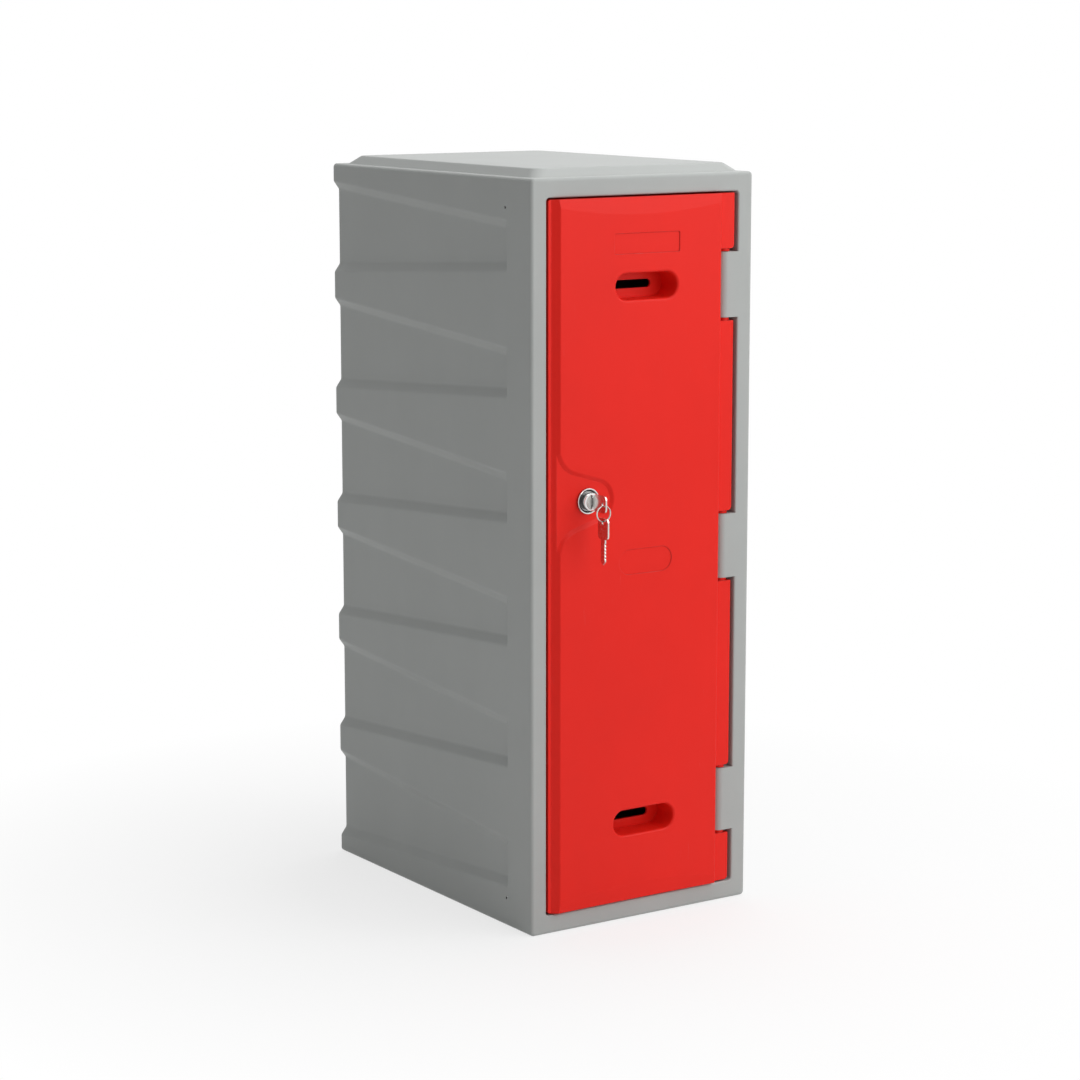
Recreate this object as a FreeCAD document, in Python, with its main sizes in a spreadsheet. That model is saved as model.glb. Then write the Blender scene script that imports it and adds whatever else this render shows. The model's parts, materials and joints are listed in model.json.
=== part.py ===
import FreeCAD, Part
import math
import os
import Sketcher

# Plastic storage locker: a fluted moulded carcass, a twin-wall door on three hinge lugs,
# a cam lock in a finger scoop, and two keys on a ring.
# Frame: +X to the right seen from the front, +Y to the back, +Z up, origin at the middle of the base.
# All sizes are in millimetres, angles in degrees.

Vector = FreeCAD.Vector

SIZES = [
    ("body_width", 316, "outside width of the carcass"),
    ("body_depth", 448, "outside depth of the carcass"),
    ("body_height", 890, "height of the carcass to the lip round its top"),
    ("wall", 4, "wall of the carcass"),
    ("corner_round", 5, "round along the outer corners of the carcass"),
    ("least_round", 1, "least round of an inner corner"),
    ("front_round", 4, "round of the front frame's outer edge"),
    ("jamb_width", 21, "width of the frame beside the door"),
    ("rail_height", 22.5, "height of the frame above and below the door"),
    ("opening_round", 4, "corner round of the door opening"),
    ("stop_width", 9, "width of the stop behind the door's edge"),
    ("stop_gap", 1, "gap between the closed door and its stop"),
    ("plateau_rise", 10, "rise of the top plateau above the lip"),
    ("plateau_lip", 10, "width of the lip round the plateau"),
    ("plateau_run", 12, "width of the slope round the plateau"),
    ("plateau_corner", 14, "corner round of the plateau in plan"),
    ("plateau_round", 4, "round of the plateau's upper edge"),
    ("stack_clearance", 1, "clearance of the base recess over a plateau below"),
    ("flute_count", 6, "flutes on each side"),
    ("flute_margin", 5.5, "margin above and below the row of flutes"),
    ("flute_setback", 54, "front end of the flutes behind the front"),
    ("flute_depth", 7.5, "depth of a flute"),
    ("flute_start", 0.2, "depth of a flute at the foot of its front end"),
    ("flute_end_run", 3, "length of the slope at a flute's front end"),
    ("flute_run", 10, "height of a flute's sloping wall"),
    ("flute_round", 6, "round at the edges of a flute"),
    ("land_rear", 33, "land between flutes at the rear"),
    ("land_front", 88, "land between flutes at their front end"),
    ("joining_hole", 3, "diameter of the holes for joining lockers"),
    ("joining_inset", 35, "joining holes from the top and bottom edges"),
    ("panel_clearance", 0.5, "clearance round the back panel"),
    ("panel_thickness", 4, "thickness of the back panel"),
    ("boss_radius", 6, "radius of the back panel's screw bosses"),
    ("boss_length", 18, "length of the back panel's screw bosses"),
    ("boss_sink", 1.5, "depth of a boss in the wall that carries it"),
    ("edge_screw_spread", 180, "spacing of the screws at the top and bottom of the back panel"),
    ("screw_radius", 2, "radius of the panel screws' shanks"),
    ("screw_length", 15, "length of the panel screws"),
    ("screw_head_radius", 4, "radius of the panel screws' countersunk heads"),
    ("screw_head_depth", 2.2, "depth of the panel screws' countersunk heads"),
    ("screw_clearance", 0.05, "radial clearance of a screw in its hole"),
    ("cross_length", 4.4, "length of the arms of a screw's cross recess"),
    ("cross_width", 0.9, "width of the arms of a screw's cross recess"),
    ("cross_depth", 1.4, "depth of a screw's cross recess"),
    ("door_side_gap", 3, "gap beside the door at the lock side"),
    ("door_end_gap", 2, "gap above and below the door"),
    ("hinge_side_gap", 5.5, "gap beside the door at the hinge side"),
    ("door_set_back", 1, "edge of the door behind the front of the frame"),
    ("door_depth", 26, "depth of the door moulding's edge"),
    ("door_skin", 3, "wall of the door moulding"),
    ("door_corner", 3, "corner round of the door in front view"),
    ("face_rise", 7, "rise of the door face above its edge"),
    ("face_round", 2.5, "round of the door face's outline"),
    ("edge_flange", 4, "flat flange at the lock edge of the door"),
    ("bevel_run", 8.5, "width of the bevel at the lock edge"),
    ("bevel_end_run", 10, "height of the top and bottom bevels at the corners"),
    ("bevel_slope", 7, "slope of the top and bottom bevels"),
    ("bevel_sag", 10, "bow of the top and bottom bevels"),
    ("liner_thickness", 3, "thickness of the door liner"),
    ("liner_screw_inset", 7, "liner screws from the sides of the door panel"),
    ("liner_screw_end", 40, "liner screws from the ends of the door"),
    ("liner_screw_rows", 4, "rows of liner screws"),
    ("liner_screw_length", 13, "length of the liner screws"),
    ("liner_boss_radius", 5, "radius of the liner's screw bosses"),
    ("strip_width", 23, "width of the hinge strip beside the door face"),
    ("strip_round", 4.5, "lower corner round of the hinge strip's lengths"),
    ("hinge_inset", 14.5, "hinge axis from the side of the opening"),
    ("lug_radius", 9.5, "radius of the hinge lugs"),
    ("lug_height", 78, "height of a hinge lug"),
    ("lug_end", 107.5, "outer lugs' middles from the ends of the opening, before the drop"),
    ("lug_drop", 3, "drop of the lugs below their even places in the opening"),
    ("notch_gap", 4, "gap above and below a lug in the hinge strip"),
    ("collar_radius", 7, "radius of the bearing collars on the hinge strip"),
    ("collar_clearance", 0.4, "clearance between a collar and its lug"),
    ("pin_radius", 3, "radius of the hinge pins"),
    ("pin_clearance", 0.05, "radial running clearance of a hinge pin in the door"),
    ("pin_press", 0.02, "radial clearance of a hinge pin in its lug"),
    ("pin_reach", 30, "reach of a hinge pin into the strip beyond the notch"),
    ("pin_chamfer", 0.8, "chamfer on the ends of a hinge pin"),
    ("pull_length", 88, "length of a finger pull"),
    ("pull_height", 31, "height of a finger pull"),
    ("pull_round", 3, "round of a finger pull's rim"),
    ("pull_top", 103.5, "upper finger pull's middle below the top of the door"),
    ("pull_bottom", 96.5, "lower finger pull's middle above the bottom of the door"),
    ("vent_length", 56, "length of the slit in a finger pull's floor"),
    ("vent_height", 10, "height of the slit in a finger pull's floor"),
    ("label_width", 93.5, "width of the label recess"),
    ("label_height", 24, "height of the label recess"),
    ("label_depth", 1, "depth of the label recess"),
    ("label_round", 2, "corner round of the label recess"),
    ("label_top", 53.5, "label recess's middle below the top of the door"),
    ("number_width", 76, "width of the number recess"),
    ("number_height", 30, "height of the number recess"),
    ("number_depth", 0.8, "depth of the number recess"),
    ("number_level", 413, "number recess's middle above the bottom of the door"),
    ("lock_backset", 52, "lock axis from the lock edge of the door"),
    ("lock_level", 491, "lock axis above the bottom of the door"),
    ("lock_sink", 3, "lock seat below the door face"),
    ("scoop_nose", 26, "radius of the scoop's inner end"),
    ("scoop_nose_offset", 10, "middle of the scoop's inner end beyond the lock axis"),
    ("scoop_flank", 17, "slope of the scoop's flanks"),
    ("scoop_lean", 17.5, "lean of the scoop's flared ends"),
    ("scoop_flare", 30, "round where the scoop's flanks flare out"),
    ("scoop_flare_inset", 6, "flare corner from the lock edge of the face"),
    ("scoop_slope", 35, "slope of the scoop's walls"),
    ("scoop_round", 3, "round of the scoop's rim"),
    ("lock_block_margin", 8, "solid door round the scoop"),
    ("seat_thickness", 4, "door wall behind the lock seat"),
    ("nut_pocket_radius", 15.5, "radius of the pocket for the lock nut"),
    ("dish_radius", 15, "outer radius of the lock's dished ring"),
    ("dish_height", 3.2, "height of the dished ring's rim"),
    ("dish_floor", 1.2, "thickness of the dished ring's floor"),
    ("dish_rim", 1.2, "width of the dished ring's rim"),
    ("head_radius", 10.5, "radius of the lock head"),
    ("head_length", 10.5, "length of the lock head"),
    ("head_chamfer", 1.2, "chamfer of the lock head"),
    ("barrel_radius", 9, "radius of the lock barrel"),
    ("barrel_clearance", 0.15, "radial clearance of the barrel in the door and ring"),
    ("plug_radius", 6, "radius of the lock plug"),
    ("plug_clearance", 0.05, "radial running clearance of the lock plug"),
    ("keyway_length", 30, "depth of the keyway"),
    ("key_clearance", 0.15, "clearance of the key blade in the keyway"),
    ("tang_width", 7, "width of the plug's square tang"),
    ("tang_clearance", 0.1, "clearance of the tang in the cam and stop washer"),
    ("washer_thickness", 0.8, "thickness of the lock's washers"),
    ("washer_radius", 12, "outer radius of the tooth washer"),
    ("tooth_count", 16, "teeth on the tooth washer"),
    ("tooth_gap", 1.8, "gap between the teeth of the tooth washer"),
    ("tooth_length", 1.6, "length of the teeth of the tooth washer"),
    ("nut_flats", 24, "width across the flats of the lock nut"),
    ("nut_thickness", 5, "thickness of the lock nut"),
    ("cam_gap", 2, "gap between the door stop and the turning cam"),
    ("cam_hub_radius", 9, "radius of the cam's hub"),
    ("cam_overlap", 9, "overlap of the turned cam on the door stop"),
    ("cam_width", 16, "width of the cam's arm"),
    ("cam_thickness", 2.5, "thickness of the cam"),
    ("cam_screw_radius", 2, "radius of the cam screw's shank"),
    ("cam_screw_length", 8, "length of the cam screw's shank in the plug"),
    ("cam_screw_head_radius", 5.5, "radius of the cam screw's head"),
    ("cam_screw_head", 3, "height of the cam screw's head"),
    ("key_thickness", 2, "thickness of a key"),
    ("bow_length", 25, "length of a key's bow"),
    ("bow_width", 20, "width of a key's bow"),
    ("bow_round", 5, "corner round of a key's bow"),
    ("neck_length", 2, "length of a key's neck"),
    ("blade_length", 28, "length of a key's blade"),
    ("blade_width", 8, "width of a key's blade"),
    ("cut_pitch", 4, "spacing of the cuts in a key's blade"),
    ("cut_depth", 1.4, "depth of the cuts in a key's blade"),
    ("cut_count", 5, "cuts in a key's blade"),
    ("groove_width", 1.8, "width of the groove along a key's blade"),
    ("groove_depth", 0.6, "depth of the groove along a key's blade"),
    ("ring_hole_radius", 2.5, "radius of the hole in a key's bow"),
    ("ring_hole_inset", 5.5, "hole's middle from the end of a key's bow"),
    ("ring_radius", 9, "radius of the key ring at the middle of its wire"),
    ("ring_wire", 0.75, "radius of the key ring's wire"),
    ("ring_clearance", 0.1, "clearance of the ring's wire in a key's hole"),
    ("seat_clearance", 0.2, "clearance between a moving face and its seat"),
    ("cut_overrun", 5, "overrun of a cutting shape past the face that it opens"),
]

doc = FreeCAD.newDocument("plastic_locker")
dims = doc.addObject("Spreadsheet::Sheet", "dims")
for row, (alias, number, meaning) in enumerate(SIZES, start=1):
    dims.set(f"A{row}", meaning)
    dims.set(f"B{row}", str(number))
    dims.setAlias(f"B{row}", alias)
doc.recompute()

# Places worked out from the driving sizes, as expressions for the document's objects.

Y_FRONT = "(-dims.body_depth / 2)"
Y_REAR = "(dims.body_depth / 2)"
FLOOR = "(dims.plateau_rise + dims.stack_clearance + dims.wall)"
OPENING_HALF = "(dims.body_width / 2 - dims.jamb_width)"
OPENING_LOW = "dims.rail_height"
OPENING_HIGH = "(dims.body_height - dims.rail_height)"

DOOR_LEFT = f"(-{OPENING_HALF} + dims.door_side_gap)"
DOOR_RIGHT = f"({OPENING_HALF} - dims.hinge_side_gap)"
DOOR_LOW = f"({OPENING_LOW} + dims.door_end_gap)"
DOOR_HIGH = f"({OPENING_HIGH} - dims.door_end_gap)"
PANEL_RIGHT = f"({DOOR_RIGHT} - dims.strip_width)"
FACE_LEFT = f"({DOOR_LEFT} + dims.edge_flange + dims.bevel_run)"
FACE_LOW = f"({DOOR_LOW} + dims.bevel_end_run)"
FACE_HIGH = f"({DOOR_HIGH} - dims.bevel_end_run)"
Y_EDGE = f"({Y_FRONT} + dims.door_set_back)"
Y_FACE = f"({Y_EDGE} - dims.face_rise)"
Y_TRAY = f"({Y_EDGE} + dims.door_depth)"
Y_LINER = f"({Y_TRAY} + dims.liner_thickness)"
Y_STOP = f"({Y_LINER} + dims.stop_gap)"
Y_RETURN = f"({Y_STOP} + dims.wall)"

HINGE_X = f"({OPENING_HALF} - dims.hinge_inset)"
HINGE_Y = f"({Y_FRONT} + dims.lug_radius)"
LUG_MIDDLE = f"(({OPENING_LOW} + {OPENING_HIGH}) / 2 - dims.lug_drop)"
LUG_PITCH = f"(({OPENING_HIGH} - {OPENING_LOW}) / 2 - dims.lug_end)"
FLUTE_PITCH = "((dims.body_height - 2 * dims.flute_margin) / dims.flute_count)"
PULL_LEVELS = (f"({DOOR_LOW} + dims.pull_bottom)", f"({DOOR_HIGH} - dims.pull_top)")

LOCK_X = f"({DOOR_LEFT} + dims.lock_backset)"
LOCK_Y = f"({Y_FACE} + dims.lock_sink)"
LOCK_Z = f"({DOOR_LOW} + dims.lock_level)"

# Distances along the lock axis from its seat, positive into the door.
HEAD_FACE = "(-dims.dish_floor - dims.head_length)"
CAM_FACE = f"({Y_RETURN} - {LOCK_Y} + dims.cam_gap)"
BARREL_END = f"({CAM_FACE} - dims.washer_thickness - dims.seat_clearance)"
CAM_BACK = f"({CAM_FACE} + dims.cam_thickness)"
CAM_REACH = "(dims.lock_backset + dims.door_side_gap - dims.stop_width + dims.cam_overlap)"
KEY_SHOULDER = f"({HEAD_FACE} - dims.seat_clearance)"
RING_HOLE_OUT = "(dims.neck_length + dims.bow_length - dims.ring_hole_inset)"
WIRE_DROP = "(dims.ring_hole_radius - dims.ring_wire - dims.ring_clearance)"


def value(expression):
    """The number that an expression on the sheet stands for."""
    return float(dims.evalExpression(expression))


def lug_level(place):
    """Height of the middle of a lug, where place is -1 for the lowest, 0 and 1 for the highest."""
    return f"({LUG_MIDDLE} + {place} * {LUG_PITCH})"


LUG_PLACES = (("bottom", -1), ("middle", 0), ("top", 1))

# Places closer than this count as the same.
NEAR = 0.01


# Helpers for primitives and booleans.

def bind(item, expressions):
    """Bind properties of a document object to expressions on the sheet."""
    for path, expression in expressions.items():
        item.setExpression(path, expression)
    return item


def block(name, x, y, z):
    """A box between two expressions along each axis."""
    item = doc.addObject("Part::Box", name)
    return bind(item, {
        "Length": f"{x[1]} - {x[0]}",
        "Width": f"{y[1]} - {y[0]}",
        "Height": f"{z[1]} - {z[0]}",
        "Placement.Base.x": x[0],
        "Placement.Base.y": y[0],
        "Placement.Base.z": z[0],
    })


def upright(name, radius, x, y, z):
    """A cylinder along Z between two expressions."""
    item = doc.addObject("Part::Cylinder", name)
    return bind(item, {
        "Radius": radius,
        "Height": f"{z[1]} - {z[0]}",
        "Placement.Base.x": x,
        "Placement.Base.y": y,
        "Placement.Base.z": z[0],
    })


def lying(name, radius, x, y, z):
    """A cylinder along Y between two expressions."""
    item = doc.addObject("Part::Cylinder", name)
    item.Placement = FreeCAD.Placement(Vector(), FreeCAD.Rotation(Vector(1, 0, 0), -90))
    return bind(item, {
        "Radius": radius,
        "Height": f"{y[1]} - {y[0]}",
        "Placement.Base.x": x,
        "Placement.Base.y": y[0],
        "Placement.Base.z": z,
    })


def crosswise(name, radius, x, y, z):
    """A cylinder along X between two expressions."""
    item = doc.addObject("Part::Cylinder", name)
    item.Placement = FreeCAD.Placement(Vector(), FreeCAD.Rotation(Vector(0, 1, 0), 90))
    return bind(item, {
        "Radius": radius,
        "Height": f"{x[1]} - {x[0]}",
        "Placement.Base.x": x[0],
        "Placement.Base.y": y,
        "Placement.Base.z": z,
    })


def form(name, shape):
    """A shape made with Part's own functions, from sizes read off the sheet."""
    item = doc.addObject("Part::Feature", name)
    item.Shape = shape
    return item


def fuse(name, parts):
    item = doc.addObject("Part::MultiFuse", name)
    item.Shapes = parts
    item.Refine = True
    doc.recompute()
    return item


def cut(name, base, tool):
    item = doc.addObject("Part::Cut", name)
    item.Base = base
    item.Tool = tool
    item.Refine = True
    doc.recompute()
    if item.Shape.Volume >= base.Shape.Volume:
        raise ValueError(f"{name} removes nothing")
    return item


def rounded(name, base, radius, chosen):
    """Fillet the edges of an object that pass a test."""
    item = doc.addObject("Part::Fillet", name)
    item.Base = base
    item.Edges = [(i, radius, radius) for i, edge in enumerate(base.Shape.Edges, start=1) if chosen(edge)]
    doc.recompute()
    if "Invalid" in item.State or not item.Edges:
        raise ValueError(f"{name} can't round its edges")
    return item


def in_plane(edge, axis, place):
    """Whether an edge lies in the plane where its coordinate along an axis has the given value."""
    box = edge.BoundBox
    low, high = {"x": (box.XMin, box.XMax), "y": (box.YMin, box.YMax), "z": (box.ZMin, box.ZMax)}[axis]
    return abs(low - place) < NEAR and abs(high - place) < NEAR


def on_corner(edge, x, levels):
    """Whether an edge runs along Y at a place along X and one of several heights."""
    return in_plane(edge, "x", x) and any(in_plane(edge, "z", level) for level in levels)


def rounded_wire(corners, place):
    """Closed wire through (u, v, radius) corners, each turned with its own arc.

    place maps the plane's u and v to a point in space.
    """
    turns = []
    for i, (u, v, radius) in enumerate(corners):
        corner = Vector(u, v, 0)
        back = Vector(*corners[i - 1][:2], 0) - corner
        ahead = Vector(*corners[(i + 1) % len(corners)][:2], 0) - corner
        back.normalize()
        ahead.normalize()
        half_angle = back.getAngle(ahead) / 2
        reach = radius / math.tan(half_angle)
        inward = back + ahead
        inward.normalize()
        middle = corner + inward * (radius / math.sin(half_angle) - radius)
        points = (corner + back * reach, middle, corner + ahead * reach)
        turns.append([place(point.x, point.y) for point in points])
    edges = []
    for i, (start, middle, end) in enumerate(turns):
        edges.append(Part.Arc(start, middle, end).toShape())
        edges.append(Part.LineSegment(end, turns[(i + 1) % len(turns)][0]).toShape())
    return Part.Wire(edges)


# Helpers for sketched bodies.

def new_body(label):
    body = doc.addObject("PartDesign::Body", label)
    body.Label = label
    return body


def sketch_on(body, name, role, offset):
    """A sketch on one of the body's own planes, moved along the plane's normal."""
    sketch = body.newObject("Sketcher::SketchObject", name)
    plane = next(item for item in body.Origin.OriginFeatures if item.Role == role)
    sketch.AttachmentSupport = (plane, [""])
    sketch.MapMode = "FlatFace"
    sketch.setExpression("AttachmentOffset.Base.z", offset)
    return sketch


def front_sketch(body, name, y):
    """A sketch seen from the front, at the given place along Y: across is X, up is Z."""
    return sketch_on(body, name, "XZ_Plane", f"-({y})")


def plan_sketch(body, name, z):
    """A sketch seen from above, at the given height: across is X, up is Y."""
    return sketch_on(body, name, "XY_Plane", z)


def hold(sketch, kind, geometry, point, expression):
    """Tie one coordinate of a sketch's point to an expression."""
    name = f"{kind}_{geometry}_{point}"
    index = sketch.addConstraint(Sketcher.Constraint(kind, -1, 1, geometry, point, value(expression)))
    sketch.renameConstraint(index, name)
    sketch.setExpression(f"Constraints.{name}", expression)


def hold_radius(sketch, geometry, expression):
    name = f"Radius_{geometry}"
    index = sketch.addConstraint(Sketcher.Constraint("Radius", geometry, value(expression)))
    sketch.renameConstraint(index, name)
    sketch.setExpression(f"Constraints.{name}", expression)


def draw_polygon(sketch, corners):
    """A closed outline of straight lines through (across, up) expressions."""
    points = [Vector(value(across), value(up), 0) for across, up in corners]
    first = sketch.GeometryCount
    count = len(points)
    for i in range(count):
        sketch.addGeometry(Part.LineSegment(points[i], points[(i + 1) % count]))
    for i, (across, up) in enumerate(corners):
        sketch.addConstraint(Sketcher.Constraint("Coincident", first + i, 2, first + (i + 1) % count, 1))
        hold(sketch, "DistanceX", first + i, 1, across)
        hold(sketch, "DistanceY", first + i, 1, up)


def draw_rectangle(sketch, across, up):
    """A rectangle between two expressions each way."""
    draw_polygon(sketch, [(across[0], up[0]), (across[1], up[0]), (across[1], up[1]), (across[0], up[1])])


def draw_circle(sketch, across, up, radius):
    geometry = sketch.addGeometry(
        Part.Circle(Vector(value(across), value(up), 0), Vector(0, 0, 1), value(radius)))
    hold(sketch, "DistanceX", geometry, 3, across)
    hold(sketch, "DistanceY", geometry, 3, up)
    hold_radius(sketch, geometry, radius)


def draw_stadium(sketch, across, up, length, height):
    """A slot with round ends, centred on (across, up)."""
    radius = f"({height}) / 2"
    ends = (f"{across} + ({length} - {height}) / 2", f"{across} - ({length} - {height}) / 2")
    arcs = []
    for end, start_angle in zip(ends, (-90, 90)):
        circle = Part.Circle(Vector(value(end), value(up), 0), Vector(0, 0, 1), value(radius))
        start = math.radians(start_angle)
        arcs.append(sketch.addGeometry(Part.ArcOfCircle(circle, start, start + math.pi)))
    right, left = arcs
    sides = []
    for this, other in ((right, left), (left, right)):
        start = sketch.getPoint(this, 2)
        end = sketch.getPoint(other, 1)
        sides.append(sketch.addGeometry(Part.LineSegment(start, end)))
    for side, this, other in ((sides[0], right, left), (sides[1], left, right)):
        sketch.addConstraint(Sketcher.Constraint("Tangent", this, 2, side, 1))
        sketch.addConstraint(Sketcher.Constraint("Tangent", side, 2, other, 1))
    for arc, end in zip(arcs, ends):
        hold(sketch, "DistanceX", arc, 3, end)
        hold(sketch, "DistanceY", arc, 3, up)
        hold_radius(sketch, arc, radius)


def pad(body, sketch, length, reverse=False):
    feature = body.newObject("PartDesign::Pad", f"{sketch.Name}_pad")
    feature.Profile = sketch
    feature.setExpression("Length", length)
    feature.Reversed = reverse
    doc.recompute()
    return feature


def pocket(body, sketch, depth, reverse=False):
    before = body.Shape.Volume
    feature = body.newObject("PartDesign::Pocket", f"{sketch.Name}_pocket")
    feature.Profile = sketch
    feature.setExpression("Length", depth)
    feature.Reversed = reverse
    doc.recompute()
    if body.Shape.Volume >= before:
        raise ValueError(f"{sketch.Name} removes nothing")
    return feature


def revolve(body, sketch):
    """A full turn of a sketch about its own upright axis."""
    feature = body.newObject("PartDesign::Revolution", f"{sketch.Name}_turn")
    feature.Profile = sketch
    feature.ReferenceAxis = (sketch, ["V_Axis"])
    feature.Angle = 360
    doc.recompute()
    return feature


def soften(body, name, radius, chosen):
    """Fillet the edges of a body that pass a test."""
    base = body.Tip
    names = [f"Edge{i}" for i, edge in enumerate(base.Shape.Edges, start=1) if chosen(edge)]
    feature = body.newObject("PartDesign::Fillet", name)
    feature.Base = (base, names)
    feature.setExpression("Radius", radius)
    doc.recompute()
    if "Invalid" in feature.State or not names:
        raise ValueError(f"{name} can't round its edges")
    return feature


# Carcass: a fluted shell that is open at the back, with the door frame at the front.

def flute_levels():
    """Heights of the middles of the flutes."""
    count = round(value("dims.flute_count"))
    return [value(f"dims.flute_margin + ({i} + 1 / 2) * {FLUTE_PITCH}") for i in range(count)]


def plain_corners(inset):
    """Corners of the carcass's cross section in X and Z, drawn in by an inset."""
    half = value("dims.body_width / 2") - inset
    turn = max(value("dims.corner_round") - inset, value("dims.least_round"))
    high = value("dims.body_height") - inset
    return [(-half, inset, turn), (half, inset, turn), (half, high, turn), (-half, high, turn)]


def fluted_corners(inset, land, depth):
    """Corners of the cross section where each side has its flutes, with a given land between them."""
    run = value("dims.flute_run")
    turn = math.atan2(value("dims.flute_depth"), run)
    reach = (value(FLUTE_PITCH) - land) / 2 + inset * math.tan(turn / 2)
    half = value("dims.body_width / 2") - inset
    land_round = value("dims.flute_round") - inset
    floor_round = value("dims.flute_round") + inset
    right = []
    for level in flute_levels():
        right.append((half, level - reach, land_round))
        right.append((half - depth, level - reach + run, floor_round))
        right.append((half - depth, level + reach - run, floor_round))
        right.append((half, level + reach, land_round))
    left = [(-across, up, turn_round) for across, up, turn_round in reversed(right)]
    base_left, base_right, top_right, top_left = plain_corners(inset)
    return [base_left, base_right, *right, top_right, top_left, *left]


def rear_corners(inset):
    """Corners of the cross section at the open back."""
    return fluted_corners(inset, value("dims.land_rear"), value("dims.flute_depth"))


def section(corners, y):
    """Cross section of the carcass at a place along Y."""
    return rounded_wire(corners, lambda across, up: Vector(across, y, up))


def shell_form(inset, y_front, y_rear):
    """Solid carcass: a plain collar at the front, then the fluted length, drawn in by an inset."""
    y_flutes = value(f"{Y_FRONT} + dims.flute_setback") - inset
    y_collar = y_flutes - value("dims.flute_end_run")
    collar = Part.Face(section(plain_corners(inset), y_front)).extrude(Vector(0, y_collar - y_front, 0))
    land = value("dims.land_front")
    sections = [
        section(fluted_corners(inset, land, value("dims.flute_start")), y_collar),
        section(fluted_corners(inset, land, value("dims.flute_depth")), y_flutes),
        section(rear_corners(inset), y_rear),
    ]
    return collar.fuse(Part.makeLoft(sections, True, True))


def plateau_form(grow, z, rise):
    """Low frustum with round corners, as on the top of the carcass, standing on height z."""
    outlines = []
    turn = value("dims.plateau_corner")
    for inset, level in ((0, z), (value("dims.plateau_run"), z + rise)):
        x = value("dims.body_width / 2 - dims.plateau_lip") + grow - inset
        y = value("dims.body_depth / 2 - dims.plateau_lip") + grow - inset
        corners = [(-x, -y, turn), (x, -y, turn), (x, y, turn), (-x, y, turn)]
        outlines.append(rounded_wire(corners, lambda across, up: Vector(across, up, level)))
    return Part.makeLoft(outlines, True, True)


def carcass_outside():
    """Outer form of the carcass, with its plateau and rounded front edge."""
    top = value("dims.body_height")
    rise = value("dims.plateau_rise")
    plateau = plateau_form(0, top, rise)
    crown = [edge for edge in plateau.Edges if in_plane(edge, "z", top + rise)]
    plateau = plateau.makeFillet(value("dims.plateau_round"), crown)
    body = shell_form(0, value(Y_FRONT), value(Y_REAR)).removeSplitter()
    rim = [edge for edge in body.Edges if in_plane(edge, "y", value(Y_FRONT))]
    body = body.makeFillet(value("dims.front_round"), rim)
    return body.fuse(plateau).removeSplitter()


def carcass_inside():
    """Hollow of the carcass, open at the back and raised under the plateau."""
    wall = value("dims.wall")
    overrun = value("dims.cut_overrun")
    hollow = shell_form(wall, value(Y_FRONT) + wall, value(Y_REAR))
    rear = Part.Face(section(rear_corners(wall), value(Y_REAR)))
    hollow = hollow.fuse(rear.extrude(Vector(0, overrun, 0)))
    plateau = plateau_form(0, value("dims.body_height") - wall, value("dims.plateau_rise"))
    return hollow.fuse(plateau).removeSplitter()


def boss_places():
    """Places of the back panel's screws: on each land between flutes, and along the top and bottom."""
    side = "(dims.body_width / 2 - dims.wall - dims.boss_radius + dims.boss_sink)"
    places = []
    for i in range(1, round(value("dims.flute_count"))):
        level = f"(dims.flute_margin + {i} * {FLUTE_PITCH})"
        places += [(f"-{side}", level), (side, level)]
    low = f"({FLOOR} + dims.boss_radius - dims.boss_sink)"
    high = "(dims.body_height - dims.wall - dims.boss_radius + dims.boss_sink)"
    for level in (low, high):
        places += [("(-dims.edge_screw_spread / 2)", level), ("(dims.edge_screw_spread / 2)", level)]
    return places


Y_PANEL = f"({Y_REAR} - dims.panel_thickness)"


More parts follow.
